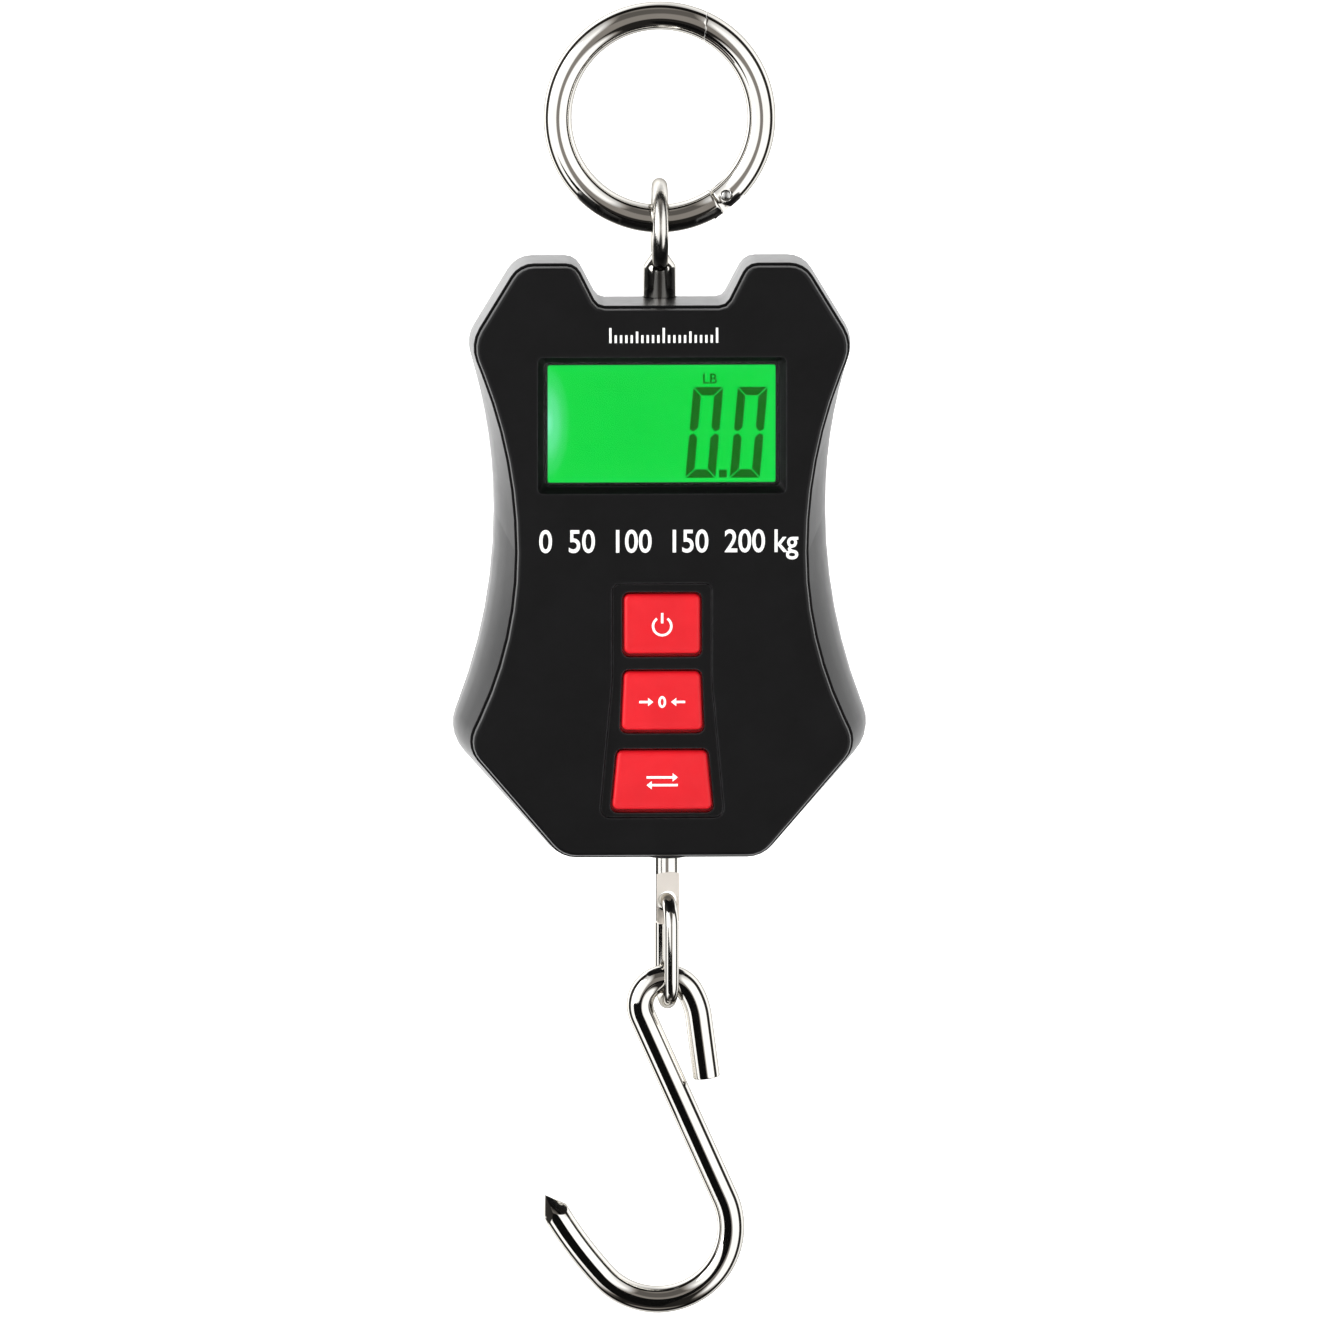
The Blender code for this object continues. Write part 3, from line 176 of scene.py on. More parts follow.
def ramp(tree, factor, stops, interpolation="LINEAR"):
    """A colour ramp of grey values; stops are (place, value)."""
    made = tree.nodes.new("ShaderNodeValToRGB")
    made.color_ramp.interpolation = interpolation
    elements = made.color_ramp.elements
    elements.remove(elements[1])
    elements[0].position = stops[0][0]
    for place, _ in stops[1:]:
        elements.new(place)
    for element, (_, value) in zip(elements, stops):
        element.color = (value, value, value, 1.0)
    plug(tree, made.inputs[0], factor)
    return made.outputs[0]


def mix_colour(tree, factor, first, second):
    made = tree.nodes.new("ShaderNodeMix")
    made.data_type = "RGBA"
    plug(tree, made.inputs["Factor"], factor)
    for socket, value in zip([s for s in made.inputs if s.type == "RGBA"], (first, second)):
        plug(tree, socket, value if isinstance(value, bpy.types.NodeSocket) else (*value, 1.0))
    return [s for s in made.outputs if s.type == "RGBA"][0]


def noise(tree, scale, detail=3.0, stretch=None):
    """Noise in the piece's own coordinates, so that it travels with the piece."""
    place = add_node(tree, "TexCoord").outputs["Object"]
    if stretch:
        place = add_node(tree, "Mapping", Vector=place, Scale=stretch).outputs[0]
    made = add_node(tree, "TexNoise", Vector=place, Scale=scale, Detail=detail)
    return made.outputs["Fac"]


def edge_mask(tree):
    """1 on sharp or narrow rounded edges, 0 on broad faces."""
    soft = add_node(tree, "Bevel", {"samples": 4}, Radius=WEAR_AND_SHEEN_EDGE).outputs[0]
    hard = add_node(tree, "NewGeometry").outputs["Normal"]
    made = tree.nodes.new("ShaderNodeVectorMath")
    made.operation = "DOT_PRODUCT"
    tree.links.new(soft, made.inputs[0])
    tree.links.new(hard, made.inputs[1])
    return ramp(tree, made.outputs["Value"], ((0.75, 1.0), (0.985, 0.0)))


# Sizes of the unevenness, as noise scales per metre, and the width of the edge band that gets rubbed wear and
# painted highlight.
PATCH_SCALE = 90.0
SMEAR_SCALE = 420.0
WEAR_AND_SHEEN_SCALE = 700.0
WEAR_AND_SHEEN_EDGE = 0.5 * MM


def surface(name, colour, roughness, metallic=0.0, grain=2500.0, depth=0.004, spread=0.06,
            shade=0.12, wear_and_sheen=0.0, wear_and_sheen_colour=None, stretch=None, **sockets):
    """A material with uneven colour and roughness, a fine grain and an edge colour that is rubbed wear on the
    steel parts and a painted highlight on the case and keys.
    """
    material = bpy.data.materials.new(name)
    material.use_nodes = True
    tree = material.node_tree
    shader = tree.nodes["Principled BSDF"]
    dark = tuple(c * (1.0 - shade) for c in colour)
    light = tuple(min(c * (1.0 + shade), 1.0) for c in colour)
    patches = ramp(tree, noise(tree, PATCH_SCALE), ((0.35, 0.0), (0.65, 1.0)))
    base = mix_colour(tree, patches, dark, light)
    smears = noise(tree, SMEAR_SCALE, 4.0, stretch)
    rough = calc(tree, "MULTIPLY_ADD", calc(tree, "SUBTRACT", smears, 0.5), 4.0 * spread, roughness)
    # Edge colour mixed in where edge_mask is high: rubbed wear on the steel parts, a painted highlight on the case
    # and the keys.
    if wear_and_sheen:
        wear_and_sheen_mask = calc(tree, "MULTIPLY", edge_mask(tree), noise(tree, WEAR_AND_SHEEN_SCALE))
        wear_and_sheen_mask = calc(tree, "MULTIPLY", wear_and_sheen_mask, wear_and_sheen)
        base = mix_colour(tree, wear_and_sheen_mask, base, wear_and_sheen_colour)
    plug(tree, shader.inputs["Base Color"], base)
    plug(tree, shader.inputs["Roughness"], rough)
    shader.inputs["Metallic"].default_value = metallic
    for socket, value in sockets.items():
        shader.inputs[socket.replace("_", " ")].default_value = value
    bump = add_node(tree, "Bump", Strength=0.6, Distance=depth * MM,
                    Height=noise(tree, grain, 2.0, stretch))
    tree.links.new(bump.outputs[0], shader.inputs["Normal"])
    return material


# ---------------------------------------------------------------- materials

PLATING_WEAR = (0.62, 0.58, 0.52)
# Dark tint for grazing reflections on the plated parts: painted shade along their outlines.
GRAZING_SHADE_TINT = (0.25, 0.24, 0.22, 1.0)


def case_plastic(name="case_plastic", depth=0.003):
    # The pale edge colour is mostly a painted highlight along the case's edges and recesses, with a little real
    # rubbing.
    return surface(name, (0.0036, 0.0036, 0.0040), 0.30, grain=3000.0, depth=depth, spread=0.02,
                   wear_and_sheen=0.6, wear_and_sheen_colour=(0.10, 0.10, 0.105), Specular_IOR_Level=0.23)


def sparked_plastic():
    """The same plastic from a spark-eroded mould, which leaves the sides finely grained."""
    return case_plastic("sparked_plastic", 0.014)


def key_red():
    # The lighter red at the key edges is a painted highlight rim.
    return surface("key_red", (0.60, 0.006, 0.013), 0.36, grain=3600.0, depth=0.004, shade=0.05,
                   wear_and_sheen=0.7, wear_and_sheen_colour=(0.85, 0.06, 0.08), Specular_IOR_Level=0.3)


def plated_steel():
    return surface("plated_steel", (0.80, 0.78, 0.74), 0.06, 1.0, grain=900.0, depth=0.002,
                   spread=0.02, shade=0.04, wear_and_sheen=0.3, wear_and_sheen_colour=PLATING_WEAR,
                   Specular_Tint=GRAZING_SHADE_TINT)


def satin_steel():
    """Plating over a forged, tumbled eye: softer reflections there than on its turned collar."""
    collar_change = -0.12
    material = surface("satin_steel", (0.78, 0.76, 0.72), 0.20, 1.0, grain=1300.0, depth=0.003,
                       spread=0.015, shade=0.05, wear_and_sheen=0.3, wear_and_sheen_colour=PLATING_WEAR,
                       Specular_Tint=GRAZING_SHADE_TINT)
    tree = material.node_tree
    socket = tree.nodes["Principled BSDF"].inputs["Roughness"]
    place = add_node(tree, "SeparateXYZ", Vector=add_node(tree, "TexCoord").outputs["Object"])
    collar = calc(tree, "LESS_THAN", place.outputs["Z"], COLLAR_Z + COLLAR_LEVEL)
    plug(tree, socket, calc(tree, "MULTIPLY_ADD", collar, collar_change, socket.links[0].from_socket))
    return material


def milled_steel():
    """The swivel stud: bright where it is turned, matt and warmer on the milled flats."""
    material = surface("milled_steel", (0.80, 0.78, 0.74), 0.09, 1.0, grain=900.0, depth=0.002,
                       spread=0.02, shade=0.04)
    tree = material.node_tree
    shader = tree.nodes["Principled BSDF"]
    middle = sum(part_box("lower_stud"), Vector()) / 2
    turn = add_node(tree, "VectorRotate", {"rotation_type": "Z_AXIS"}, Center=middle,
                    Vector=add_node(tree, "TexCoord").outputs["Object"],
                    Angle=-STUD_TURN).outputs[0]
    place = add_node(tree, "SeparateXYZ", Vector=turn)
    depth = calc(tree, "ABSOLUTE", calc(tree, "SUBTRACT", place.outputs["Y"], middle.y))
    side = calc(tree, "ABSOLUTE", calc(tree, "SUBTRACT", place.outputs["X"], middle.x))
    low = calc(tree, "LESS_THAN", place.outputs["Z"], FLAT_TOP_Z)
    mask = calc(tree, "MULTIPLY", low, calc(tree, "LESS_THAN", depth, FLAT_HALF + 0.06 * MM))
    mask = calc(tree, "MULTIPLY", mask, calc(tree, "LESS_THAN", side, FLAT_SIDE))
    colour, rough = shader.inputs["Base Color"], shader.inputs["Roughness"]
    matt = calc(tree, "MULTIPLY_ADD", mask, 0.36, rough.links[0].from_socket)
    plug(tree, colour, mix_colour(tree, mask, colour.links[0].from_socket, (0.93, 0.87, 0.80)))
    plug(tree, rough, matt)
    return material


def bare_steel():
    return surface("bare_steel", (0.55, 0.55, 0.54), 0.28, 1.0, grain=1800.0, depth=0.006,
                   wear_and_sheen=0.4, wear_and_sheen_colour=(0.75, 0.74, 0.72))


def cell_aluminium():
    return surface("cell_aluminium", (0.78, 0.78, 0.79), 0.32, 1.0, grain=1500.0, depth=0.01,
                   stretch=(1.0, 1.0, 0.04))


def window_clear():
    return surface("window_clear", (0.98, 0.99, 0.985), 0.002, grain=600.0, depth=0.0002,
                   spread=0.0005, shade=0.01, Transmission_Weight=1.0, IOR=1.2)


FINISHES = {
    "case_plastic": case_plastic,
    "key_red": key_red,
    "plated_steel": plated_steel,
    "bare_steel": bare_steel,
    "cell_aluminium": cell_aluminium,
    "window_clear": window_clear,
    "display_glass": lambda: surface("display_glass", (0.004, 0.006, 0.005), 0.3, spread=0.02,
                                     Specular_IOR_Level=0.1),
    "inner_plastic": lambda: surface("inner_plastic", (0.72, 0.70, 0.64), 0.42, depth=0.008),
    "light_guide": lambda: surface("light_guide", (0.85, 0.93, 0.88), 0.10, spread=0.02,
                                   Transmission_Weight=0.8, IOR=1.49),
    "contact_rubber": lambda: surface("contact_rubber", (0.30, 0.30, 0.31), 0.75, depth=0.02),
    "circuit_board": lambda: surface("circuit_board", (0.012, 0.16, 0.06), 0.34, grain=1100.0,
                                     depth=0.012, shade=0.25, Coat_Weight=0.4),
    "chip_plastic": lambda: surface("chip_plastic", (0.02, 0.02, 0.021), 0.55, depth=0.012),
    "gauge_film": lambda: surface("gauge_film", (0.72, 0.42, 0.12), 0.3, grain=3000.0, shade=0.2),
    "cable_grey": lambda: surface("cable_grey", (0.32, 0.32, 0.33), 0.5, depth=0.01),
    "wire_red": lambda: surface("wire_red", (0.6, 0.02, 0.02), 0.42, depth=0.006),
    "wire_black": lambda: surface("wire_black", (0.02, 0.02, 0.02), 0.42, depth=0.006),
    "bush_brass": lambda: surface("bush_brass", (0.72, 0.50, 0.20), 0.3, 1.0, grain=1600.0),
    "battery_jacket": lambda: surface("battery_jacket", (0.10, 0.11, 0.13), 0.28, shade=0.3),
}
MADE = {}


def finish(slot):
    """The material of one of the record's slots, made once."""
    if slot not in MADE:
        MADE[slot] = FINISHES[slot]()
    return MADE[slot]


def print_white():
    """Screen-printed paint: slightly uneven cover over the plastic."""
    return surface("print_white", (0.86, 0.86, 0.85), 0.5, grain=5200.0, depth=0.01, shade=0.03)


def screen_glow():
    """The lit display: even green, paler at the rim, with the lamp's hot spot at its left edge."""
    material = bpy.data.materials.new("screen_glow")
    material.use_nodes = True
    tree = material.node_tree
    shader = tree.nodes["Principled BSDF"]
    place = add_node(tree, "SeparateXYZ", Vector=add_node(tree, "TexCoord").outputs["Object"])
    low, high = screen_corners()
    across = calc(tree, "DIVIDE", place.outputs["X"], high.x)
    up = calc(tree, "SUBTRACT", place.outputs["Z"], (low.z + high.z) / 2)
    up = calc(tree, "DIVIDE", up, (high.z - low.z) / 2)
    rim = calc(tree, "MAXIMUM", calc(tree, "ABSOLUTE", across), calc(tree, "ABSOLUTE", up))
    rim = calc(tree, "POWER", rim, 9.0)
    rim = calc(tree, "MULTIPLY", rim, 0.35)
    green = mix_colour(tree, rim, (0.0, 0.66, 0.045), (0.01, 0.76, 0.10))
    side = calc(tree, "MULTIPLY", calc(tree, "ADD", across, 1.0), 5.0)
    height = calc(tree, "SUBTRACT", up, 0.02)
    spread = calc(tree, "SQRT", calc(tree, "ADD", calc(tree, "MULTIPLY", side, side),
                                     calc(tree, "MULTIPLY", height, height)))
    spot = ramp(tree, spread, ((0.0, 0.7), (0.35, 0.35), (0.8, 0.08), (1.0, 0.0)), "EASE")
    light = mix_colour(tree, spot, green, (0.30, 1.0, 0.70))
    grain = calc(tree, "MULTIPLY_ADD", noise(tree, 1600.0), 0.08, 0.98)
    shader.inputs["Base Color"].default_value = (0.0, 0.02, 0.004, 1.0)
    shader.inputs["Roughness"].default_value = 0.5
    shader.inputs["Specular IOR Level"].default_value = 0.0
    plug(tree, shader.inputs["Emission Color"], light)
    plug(tree, shader.inputs["Emission Strength"], calc(tree, "MULTIPLY", grain, seen_light(tree)))
    return material


def seen_light(tree):
    """1 where the lit display is looked at, much less where it would tint its surroundings."""
    path = add_node(tree, "LightPath")
    bounces = calc(tree, "ADD", path.outputs["Diffuse Depth"], path.outputs["Glossy Depth"])
    spill = calc(tree, "MINIMUM", bounces, 1.0)
    return calc(tree, "MULTIPLY_ADD", spill, -0.96, 1.0)


# ---------------------------------------------------------------- mesh helpers

def loft(name, rings, closed=False):
    """A skin over rings of points, with flat ends, or joined into a loop."""
    mesh = bmesh.new()
    rows = [[mesh.verts.new(point) for point in ring] for ring in rings]
    pairs = list(zip(rows, rows[1:]))
    if closed:
        pairs.append((rows[-1], rows[0]))
    for near, far in pairs:
        for i in range(len(near)):
            j = (i + 1) % len(near)
            mesh.faces.new((near[i], near[j], far[j], far[i]))
    if not closed:
        mesh.faces.new(rows[0])
        mesh.faces.new(rows[-1])
    bmesh.ops.recalc_face_normals(mesh, faces=mesh.faces)
    return as_object(name, mesh)


def as_object(name, mesh):
    data = bpy.data.meshes.new(name)
    mesh.to_mesh(data)
    mesh.free()
    obj = bpy.data.objects.new(name, data)
    bpy.context.scene.collection.objects.link(obj)
    return obj


def soften(obj, degrees=35.0):
    """Smooth shading, but sharp across edges steeper than this."""
    mesh = bmesh.new()
    mesh.from_mesh(obj.data)
    for face in mesh.faces:
        face.smooth = True
    for edge in mesh.edges:
        edge.smooth = len(edge.link_faces) == 2 and edge.calc_face_angle() < math.radians(degrees)
    mesh.to_mesh(obj.data)
    mesh.free()
    return obj


def apply_modifiers(obj):
    graph = bpy.context.evaluated_depsgraph_get()
    obj.data = bpy.data.meshes.new_from_object(obj.evaluated_get(graph))
    obj.modifiers.clear()
    return obj


def carve(obj, tool, operation="DIFFERENCE"):
    """A Boolean with a tool that is then thrown away."""
    modifier = obj.modifiers.new("carve", "BOOLEAN")
    modifier.operation = operation
    modifier.solver = "EXACT"
    modifier.object = tool
    apply_modifiers(obj)
    bpy.data.objects.remove(tool)
    return obj


def break_edges(obj, width, degrees=50.0):
    """Narrow rounded edges, as plating leaves them."""
    modifier = obj.modifiers.new("edges", "BEVEL")
    modifier.width = width
    modifier.segments = 2
    modifier.limit_method = "ANGLE"
    modifier.angle_limit = math.radians(degrees)
    modifier.use_clamp_overlap = True
    return apply_modifiers(obj)


def circle(centre, first, second, radius, count):
    """Points round a centre, in the plane of two unit directions."""
    steps = (2 * math.pi * i / count for i in range(count))
    return [centre + radius * (first * math.cos(a) + second * math.sin(a)) for a in steps]


def sweep(name, path, normal, radius, count=40, closed=False):
    """A round wire along a path that lies in a plane with this normal; its ends are rounded off."""
    rings = []
    for i, point in enumerate(path):
        before = path[i - 1] if i or closed else point
        after = path[(i + 1) % len(path)] if i < len(path) - 1 or closed else point
        side = (after - before).normalized().cross(normal)
        rings.append(circle(point, side, normal, radius, count))
    if not closed:
        rings = rounded_ends(rings, radius)
    return loft(name, rings, closed)


def rounded_ends(rings, radius):
    """Extra rings at both ends that turn the edge in by a small round."""
    edge = 0.3 * MM
    done = rings
    for _ in range(2):
        first, second = done[0], done[1]
        middle = sum(first, Vector()) / len(first)
        inward = (sum(second, Vector()) / len(second) - middle).normalized()
        extra = []
        for turn in (0.0, 30.0, 60.0, 90.0):
            a = math.radians(turn)
            shrink = (radius - edge * (1.0 - math.sin(a))) / radius
            extra.append([middle + inward * edge * (1.0 - math.cos(a)) + (p - middle) * shrink
                          for p in first])
        done = list(reversed(extra + done[1:]))
    return done


def turned(name, profile, place, count=48):
    """A shape turned about a vertical line through place; the profile is (radius, z)."""
    rings = [circle(Vector((place[0], place[1], z)), Vector((1, 0, 0)), Vector((0, 1, 0)), r, count)
             for r, z in profile]
    return loft(name, rings)


def prism(name, outline, low_y, high_y):
    """A flat outline in XZ, carried from one depth to another."""
    return loft(name, [[Vector((x, y, z)) for x, z in outline] for y in (low_y, high_y)])


def dress(obj, slot, body, *replaced):
    """Gives a new piece its finish and its body, and hides the CAD nodes it stands for."""
    obj.data.materials.clear()
    obj.data.materials.append(finish(slot))
    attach(obj, body)
    if replaced:
        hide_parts(*replaced)
    return obj


def arc(centre, radius, start, end, steps):
    """Points on an arc in XZ, angles from +X towards +Z."""
    turns = (start + (end - start) * i / steps for i in range(steps + 1))
    return [(centre[0] + radius * math.cos(a), centre[1] + radius * math.sin(a)) for a in turns]


# ---------------------------------------------------------------- hanging ring

def ring_point(angle, radius=RING_RADIUS):
    """A point on the ring, with the angle measured from its bottom towards +X."""
    return RING_CENTRE + radius * Vector((math.sin(angle), 0.0, -math.cos(angle)))


def flat(points):
    return [(point.x, point.z) for point in points]


def catch_tool(name, keep_side, gap):
    """A block on one side of the slanted cut where the gate's free end meets the ring."""
    inner = ring_point(CATCH_INNER_ANGLE, RING_RADIUS - RING_WIRE)
    outer = ring_point(CATCH_OUTER_ANGLE, RING_RADIUS + RING_WIRE)
    along = (outer - inner).normalized()
    across = Vector((-along.z, 0.0, along.x)) * keep_side
    start = inner - along * CUT_PAST + across * gap
    end = outer + along * CUT_PAST + across * gap
    corners = (start, end, end + across * CUT_REACH, start + across * CUT_REACH)
    return prism(name, flat(corners), AXIS_Y - CUT_DEPTH, AXIS_Y + CUT_DEPTH)


def hinge_frame():
    """Directions at the hinge: along the wire towards the gate, and out from the ring."""
    along = Vector((math.cos(PIN_ANGLE), 0.0, math.sin(PIN_ANGLE)))
    outward = Vector((math.sin(PIN_ANGLE), 0.0, -math.cos(PIN_ANGLE)))
    return along, outward


def pin_tool(name, radius):
    reach = Vector((0, CUT_DEPTH, 0))
    ends = (GATE_PIN - reach, GATE_PIN + reach)
    across, up = Vector((1, 0, 0)), Vector((0, 0, 1))
    return loft(name, [circle(end, across, up, radius, 32) for end in ends])


def ring_wire(name, start, end, steps):
    path = [ring_point(start + (end - start) * i / steps) for i in range(steps + 1)]
    return sweep(name, path, Vector((0, 1, 0)), RING_WIRE, 48)


def hanging_ring():
    """The long part of the ring: a flat tongue at the hinge and a slanted face at the catch."""
    ring = ring_wire("ring_body_plated", RING_START, SHOULDER_ANGLE, 150)
    carve(ring, catch_tool("catch", -1.0, 0.0))
    along, outward = hinge_frame()
    root = GATE_PIN - along * TONGUE_ROOT
    nose = [GATE_PIN + TONGUE_NOSE * (outward * math.cos(a) + along * math.sin(a))
            for a in (math.pi * k / 24 for k in range(25))]
    outline = flat([root - outward * TONGUE_NOSE, root + outward * TONGUE_NOSE] + nose)
    tongue = prism("tongue", outline, AXIS_Y - TONGUE_HALF, AXIS_Y + TONGUE_HALF)
    carve(ring, tongue, "UNION")
    carve(ring, pin_tool("bore", RING_BORE))
    soften(break_edges(ring, RING_EDGE))
    dress(ring, "plated_steel", "ring", "ring_body")


def ring_gate():
    """The hinged part: two cheeks beside the tongue, relieved outside the hinge."""
    nose_angle = SHOULDER_ANGLE + JOINT_GAP / RING_RADIUS
    gate = ring_wire("ring_gate_plated", nose_angle, GATE_END, 90)
    carve(gate, catch_tool("catch", 1.0, -CATCH_GAP))
    along, outward = hinge_frame()
    far = GATE_PIN + along * (TONGUE_NOSE + JOINT_GAP)
    near = GATE_PIN - along * CUT_REACH
    slot = flat([near - outward * CUT_SIDE, near + outward * CUT_SIDE,
                 far + outward * CUT_SIDE, far - outward * CUT_SIDE])
    carve(gate, prism("slot", slot, AXIS_Y - SLOT_HALF, AXIS_Y + SLOT_HALF))
    apex = ring_point(nose_angle)
    face = Vector((math.sin(nose_angle), 0.0, -math.cos(nose_angle)))
    tilt = Matrix.Rotation(-GATE_RELIEF, 3, "Y")
    wedge = flat([apex - face * 0.02 * MM, apex + face * CUT_REACH - along * MM,
                  apex + face * CUT_REACH, apex + tilt @ face * CUT_REACH])
    carve(gate, prism("relief", wedge, AXIS_Y - CUT_DEPTH, AXIS_Y + CUT_DEPTH))
    carve(gate, pin_tool("bore", GATE_BORE))
    soften(break_edges(gate, RING_EDGE))
    dress(gate, "plated_steel", "gate", "ring_gate")


def gate_pin():
    """The hinge pin, with domed heads that stand just inside the ring's surface."""
    low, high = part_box("gate_pin")
    radius = (high.x - low.x) / 2
    dome = 0.35 * MM
    profile = [(radius * math.cos(a), low.y + dome * (1.0 - math.sin(a)))
               for a in (math.radians(80.0 - 16.0 * k) for k in range(6))]
    profile += [(r, low.y + high.y - y) for r, y in reversed(profile)]
    across, up = Vector((1, 0, 0)), Vector((0, 0, 1))
    rings = [circle(Vector((GATE_PIN.x, y, GATE_PIN.z)), across, up, r, 32) for r, y in profile]
    dress(soften(loft("gate_pin_domed", rings)), "bare_steel", "ring", "gate_pin")


# ---------------------------------------------------------------- eye bolt, stud, link, hook

def eye_bolt():
    """The forged eye with rounded edges, running into a collar that seats on the case."""
    soft = 1.42 * MM
    section = []
    corners = ((EYE_OUTER - soft, EYE_HALF - soft, 0.0), (EYE_HOLE + soft, EYE_HALF - soft, 90.0),
               (EYE_HOLE + soft, soft - EYE_HALF, 180.0), (EYE_OUTER - soft, soft - EYE_HALF, 270.0))
    for reach, height, start in corners:
        section += arc((reach, height), soft, math.radians(start), math.radians(start + 90.0), 6)
    centre = Vector((0.0, AXIS_Y, EYE_Z))
    across = Vector((1, 0, 0))
    rings = []
    for i in range(96):
        a = 2 * math.pi * i / 96
        spoke = Vector((0.0, math.cos(a), math.sin(a)))
        rings.append([centre + spoke * reach + across * height for reach, height in section])
    eye = loft("eye_bolt_plated", rings, closed=True)
    low_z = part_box("eye_bolt")[0].z
    core = 0.3 * MM
    top_z = COLLAR_Z + COLLAR_HEIGHT
    neck = [(core, top_z), (1.3 * MM, top_z),
            (NECK_RADIUS - 0.15 * MM, COLLAR_Z + 0.2 * MM), (NECK_RADIUS, COLLAR_Z - 0.2 * MM),
            (NECK_RADIUS, 49.3 * MM), (SHANK_RADIUS, 49.0 * MM),
            (SHANK_RADIUS, low_z + 0.5 * MM), (2.3 * MM, low_z), (core, low_z)]
    carve(eye, turned("collar", neck, (0.0, AXIS_Y)), "UNION")
    soften(break_edges(eye, 0.1 * MM, 40.0), 40.0)
    dress(eye, "plated_steel", "case", "eye_bolt")
    eye.data.materials[0] = satin_steel()


def chain_link():
    """An oval loop of wire: two bends joined by straight legs."""
    axis = Vector(JOINTS["link_swing"]["axis"])
    across = Vector((0, 0, 1)).cross(axis).normalized()
    bottom = HOOK_TOP.z + HOOK_BEND
    points = arc((0.0, LINK_TOP.z), LINK_BEND, 0.0, math.pi, 28)
    points += arc((0.0, bottom), LINK_BEND, math.pi, 2 * math.pi, 28)
    path = [Vector((LINK_TOP.x, LINK_TOP.y, z)) + across * reach for reach, z in points]
    link = sweep("chain_link_plated", path, axis, LINK_WIRE, 32, closed=True)
    dress(soften(link), "plated_steel", "link", "chain_link")


def hook_path():
    """The hook's centre line, from its short leg to its point, about its upper bend."""
    leg_angle = math.radians(7.5)
    ease_angle = math.radians(30.0)
    ease_radius = 13.15 * MM
    bend_end = (HOOK_BEND * math.cos(ease_angle), HOOK_BEND * math.sin(ease_angle))
    ease_centre = (bend_end[0] - ease_radius * math.cos(ease_angle),
                   bend_end[1] - ease_radius * math.sin(ease_angle))
    leg = arc(ease_centre, ease_radius, leg_angle, ease_angle, 8)
    leg_length = 12.1 * MM
    run = Vector((math.sin(leg_angle), -math.cos(leg_angle)))
    start = [tuple(Vector(leg[0]) + run * leg_length * share) for share in (1.0, 0.96, 0.5)]
    upper = arc((0.0, 0.0), HOOK_BEND, ease_angle, math.pi + HOOK_SHANK_ANGLE, 36)
    rise = math.radians(42.0)
    bowl = arc(HOOK_BOWL_CENTRE, HOOK_BOWL, HOOK_SHANK_ANGLE, -math.pi + rise, 60)
    arm_radius = 80.0 * MM
    arm_centre = (bowl[-1][0] + arm_radius * math.cos(rise),
                  bowl[-1][1] + arm_radius * math.sin(rise))
    last = math.radians(31.5)
    arm = arc(arm_centre, arm_radius, -math.pi + rise, -math.pi + last, 8)
    end = (arm[-1][0] - HOOK_POINT_LENGTH * math.sin(last),
           arm[-1][1] + HOOK_POINT_LENGTH * math.cos(last))
    flat_line = start + leg + upper[1:] + bowl + arm[1:] + [end]
    return [HOOK_TOP + Vector((x, 0.0, z)) for x, z in flat_line]


def s_hook():
    """The bent hook, with a cut short leg and a point ground to four facets."""
    path = hook_path()
    hook = sweep("s_hook_plated", path, Vector((0, 1, 0)), HOOK_WIRE, 48)
    tip, before = path[-1], path[-2]
    forward = (tip - before).normalized()
    side = forward.cross(Vector((0, 1, 0)))
    slope = math.atan2(HOOK_WIRE, HOOK_POINT_LENGTH)
    for turn in (45.0, 135.0, 225.0, 315.0):
        a = math.radians(turn + FACET_TURN_DEGREES)
        away = side * math.cos(a) + Vector((0, 1, 0)) * math.sin(a)
        across = forward.cross(away)
        carve(hook, facet_tool(tip - forward * HOOK_BLUNT, forward, away, across, slope))
    soften(break_edges(hook, 0.08 * MM, 30.0), 28.0)
    dress(hook, "plated_steel", "hook", "s_hook")


def facet_tool(place, forward, away, across, slope):
    """A block whose inner face is one ground facet of the hook's point."""
    down = away * math.sin(slope) - forward * math.cos(slope)
    normal = away * math.cos(slope) + forward * math.sin(slope)
    reach, half = 1.4 * HOOK_POINT_LENGTH, 6 * MM
    face = [place - down * 3 * MM - across * half, place - down * 3 * MM + across * half,
            place + down * reach + across * half, place + down * reach - across * half]
    return loft("facet", [face, [point + normal * 8 * MM for point in face]])


# ---------------------------------------------------------------- keys

def rounded_outline(corners, radius, steps=6):
    """A convex outline's points, counter-clockwise, with its corners rounded."""
    points = []
    for i, corner in enumerate(corners):
        here = Vector(corner)
        before = (Vector(corners[i - 1]) - here).normalized()
        after = (Vector(corners[(i + 1) % len(corners)]) - here).normalized()
        half = before.angle(after) / 2
        centre = here + (before + after).normalized() * radius / math.sin(half)
        start = here + before * radius / math.tan(half) - centre
        turn = start.angle_signed(here + after * radius / math.tan(half) - centre)
        for k in range(steps + 1):
            points.append(tuple(centre + Matrix.Rotation(-turn * k / steps, 2) @ start))
    return points


def key_outline(shape, inset):
    """A key's outline drawn in by inset, or let out for the flange where inset is negative."""
    top, bottom, high, low = (value * MM for value in shape)
    foot = low + inset if inset < 0 else low + KEY_FOOT + 1.3 * inset
    corners = [(-bottom + inset, foot), (bottom - inset, foot),
               (top - inset, high - inset), (-top + inset, high - inset)]
    return rounded_outline(corners, max(1.1 * MM - inset, 0.3 * MM))


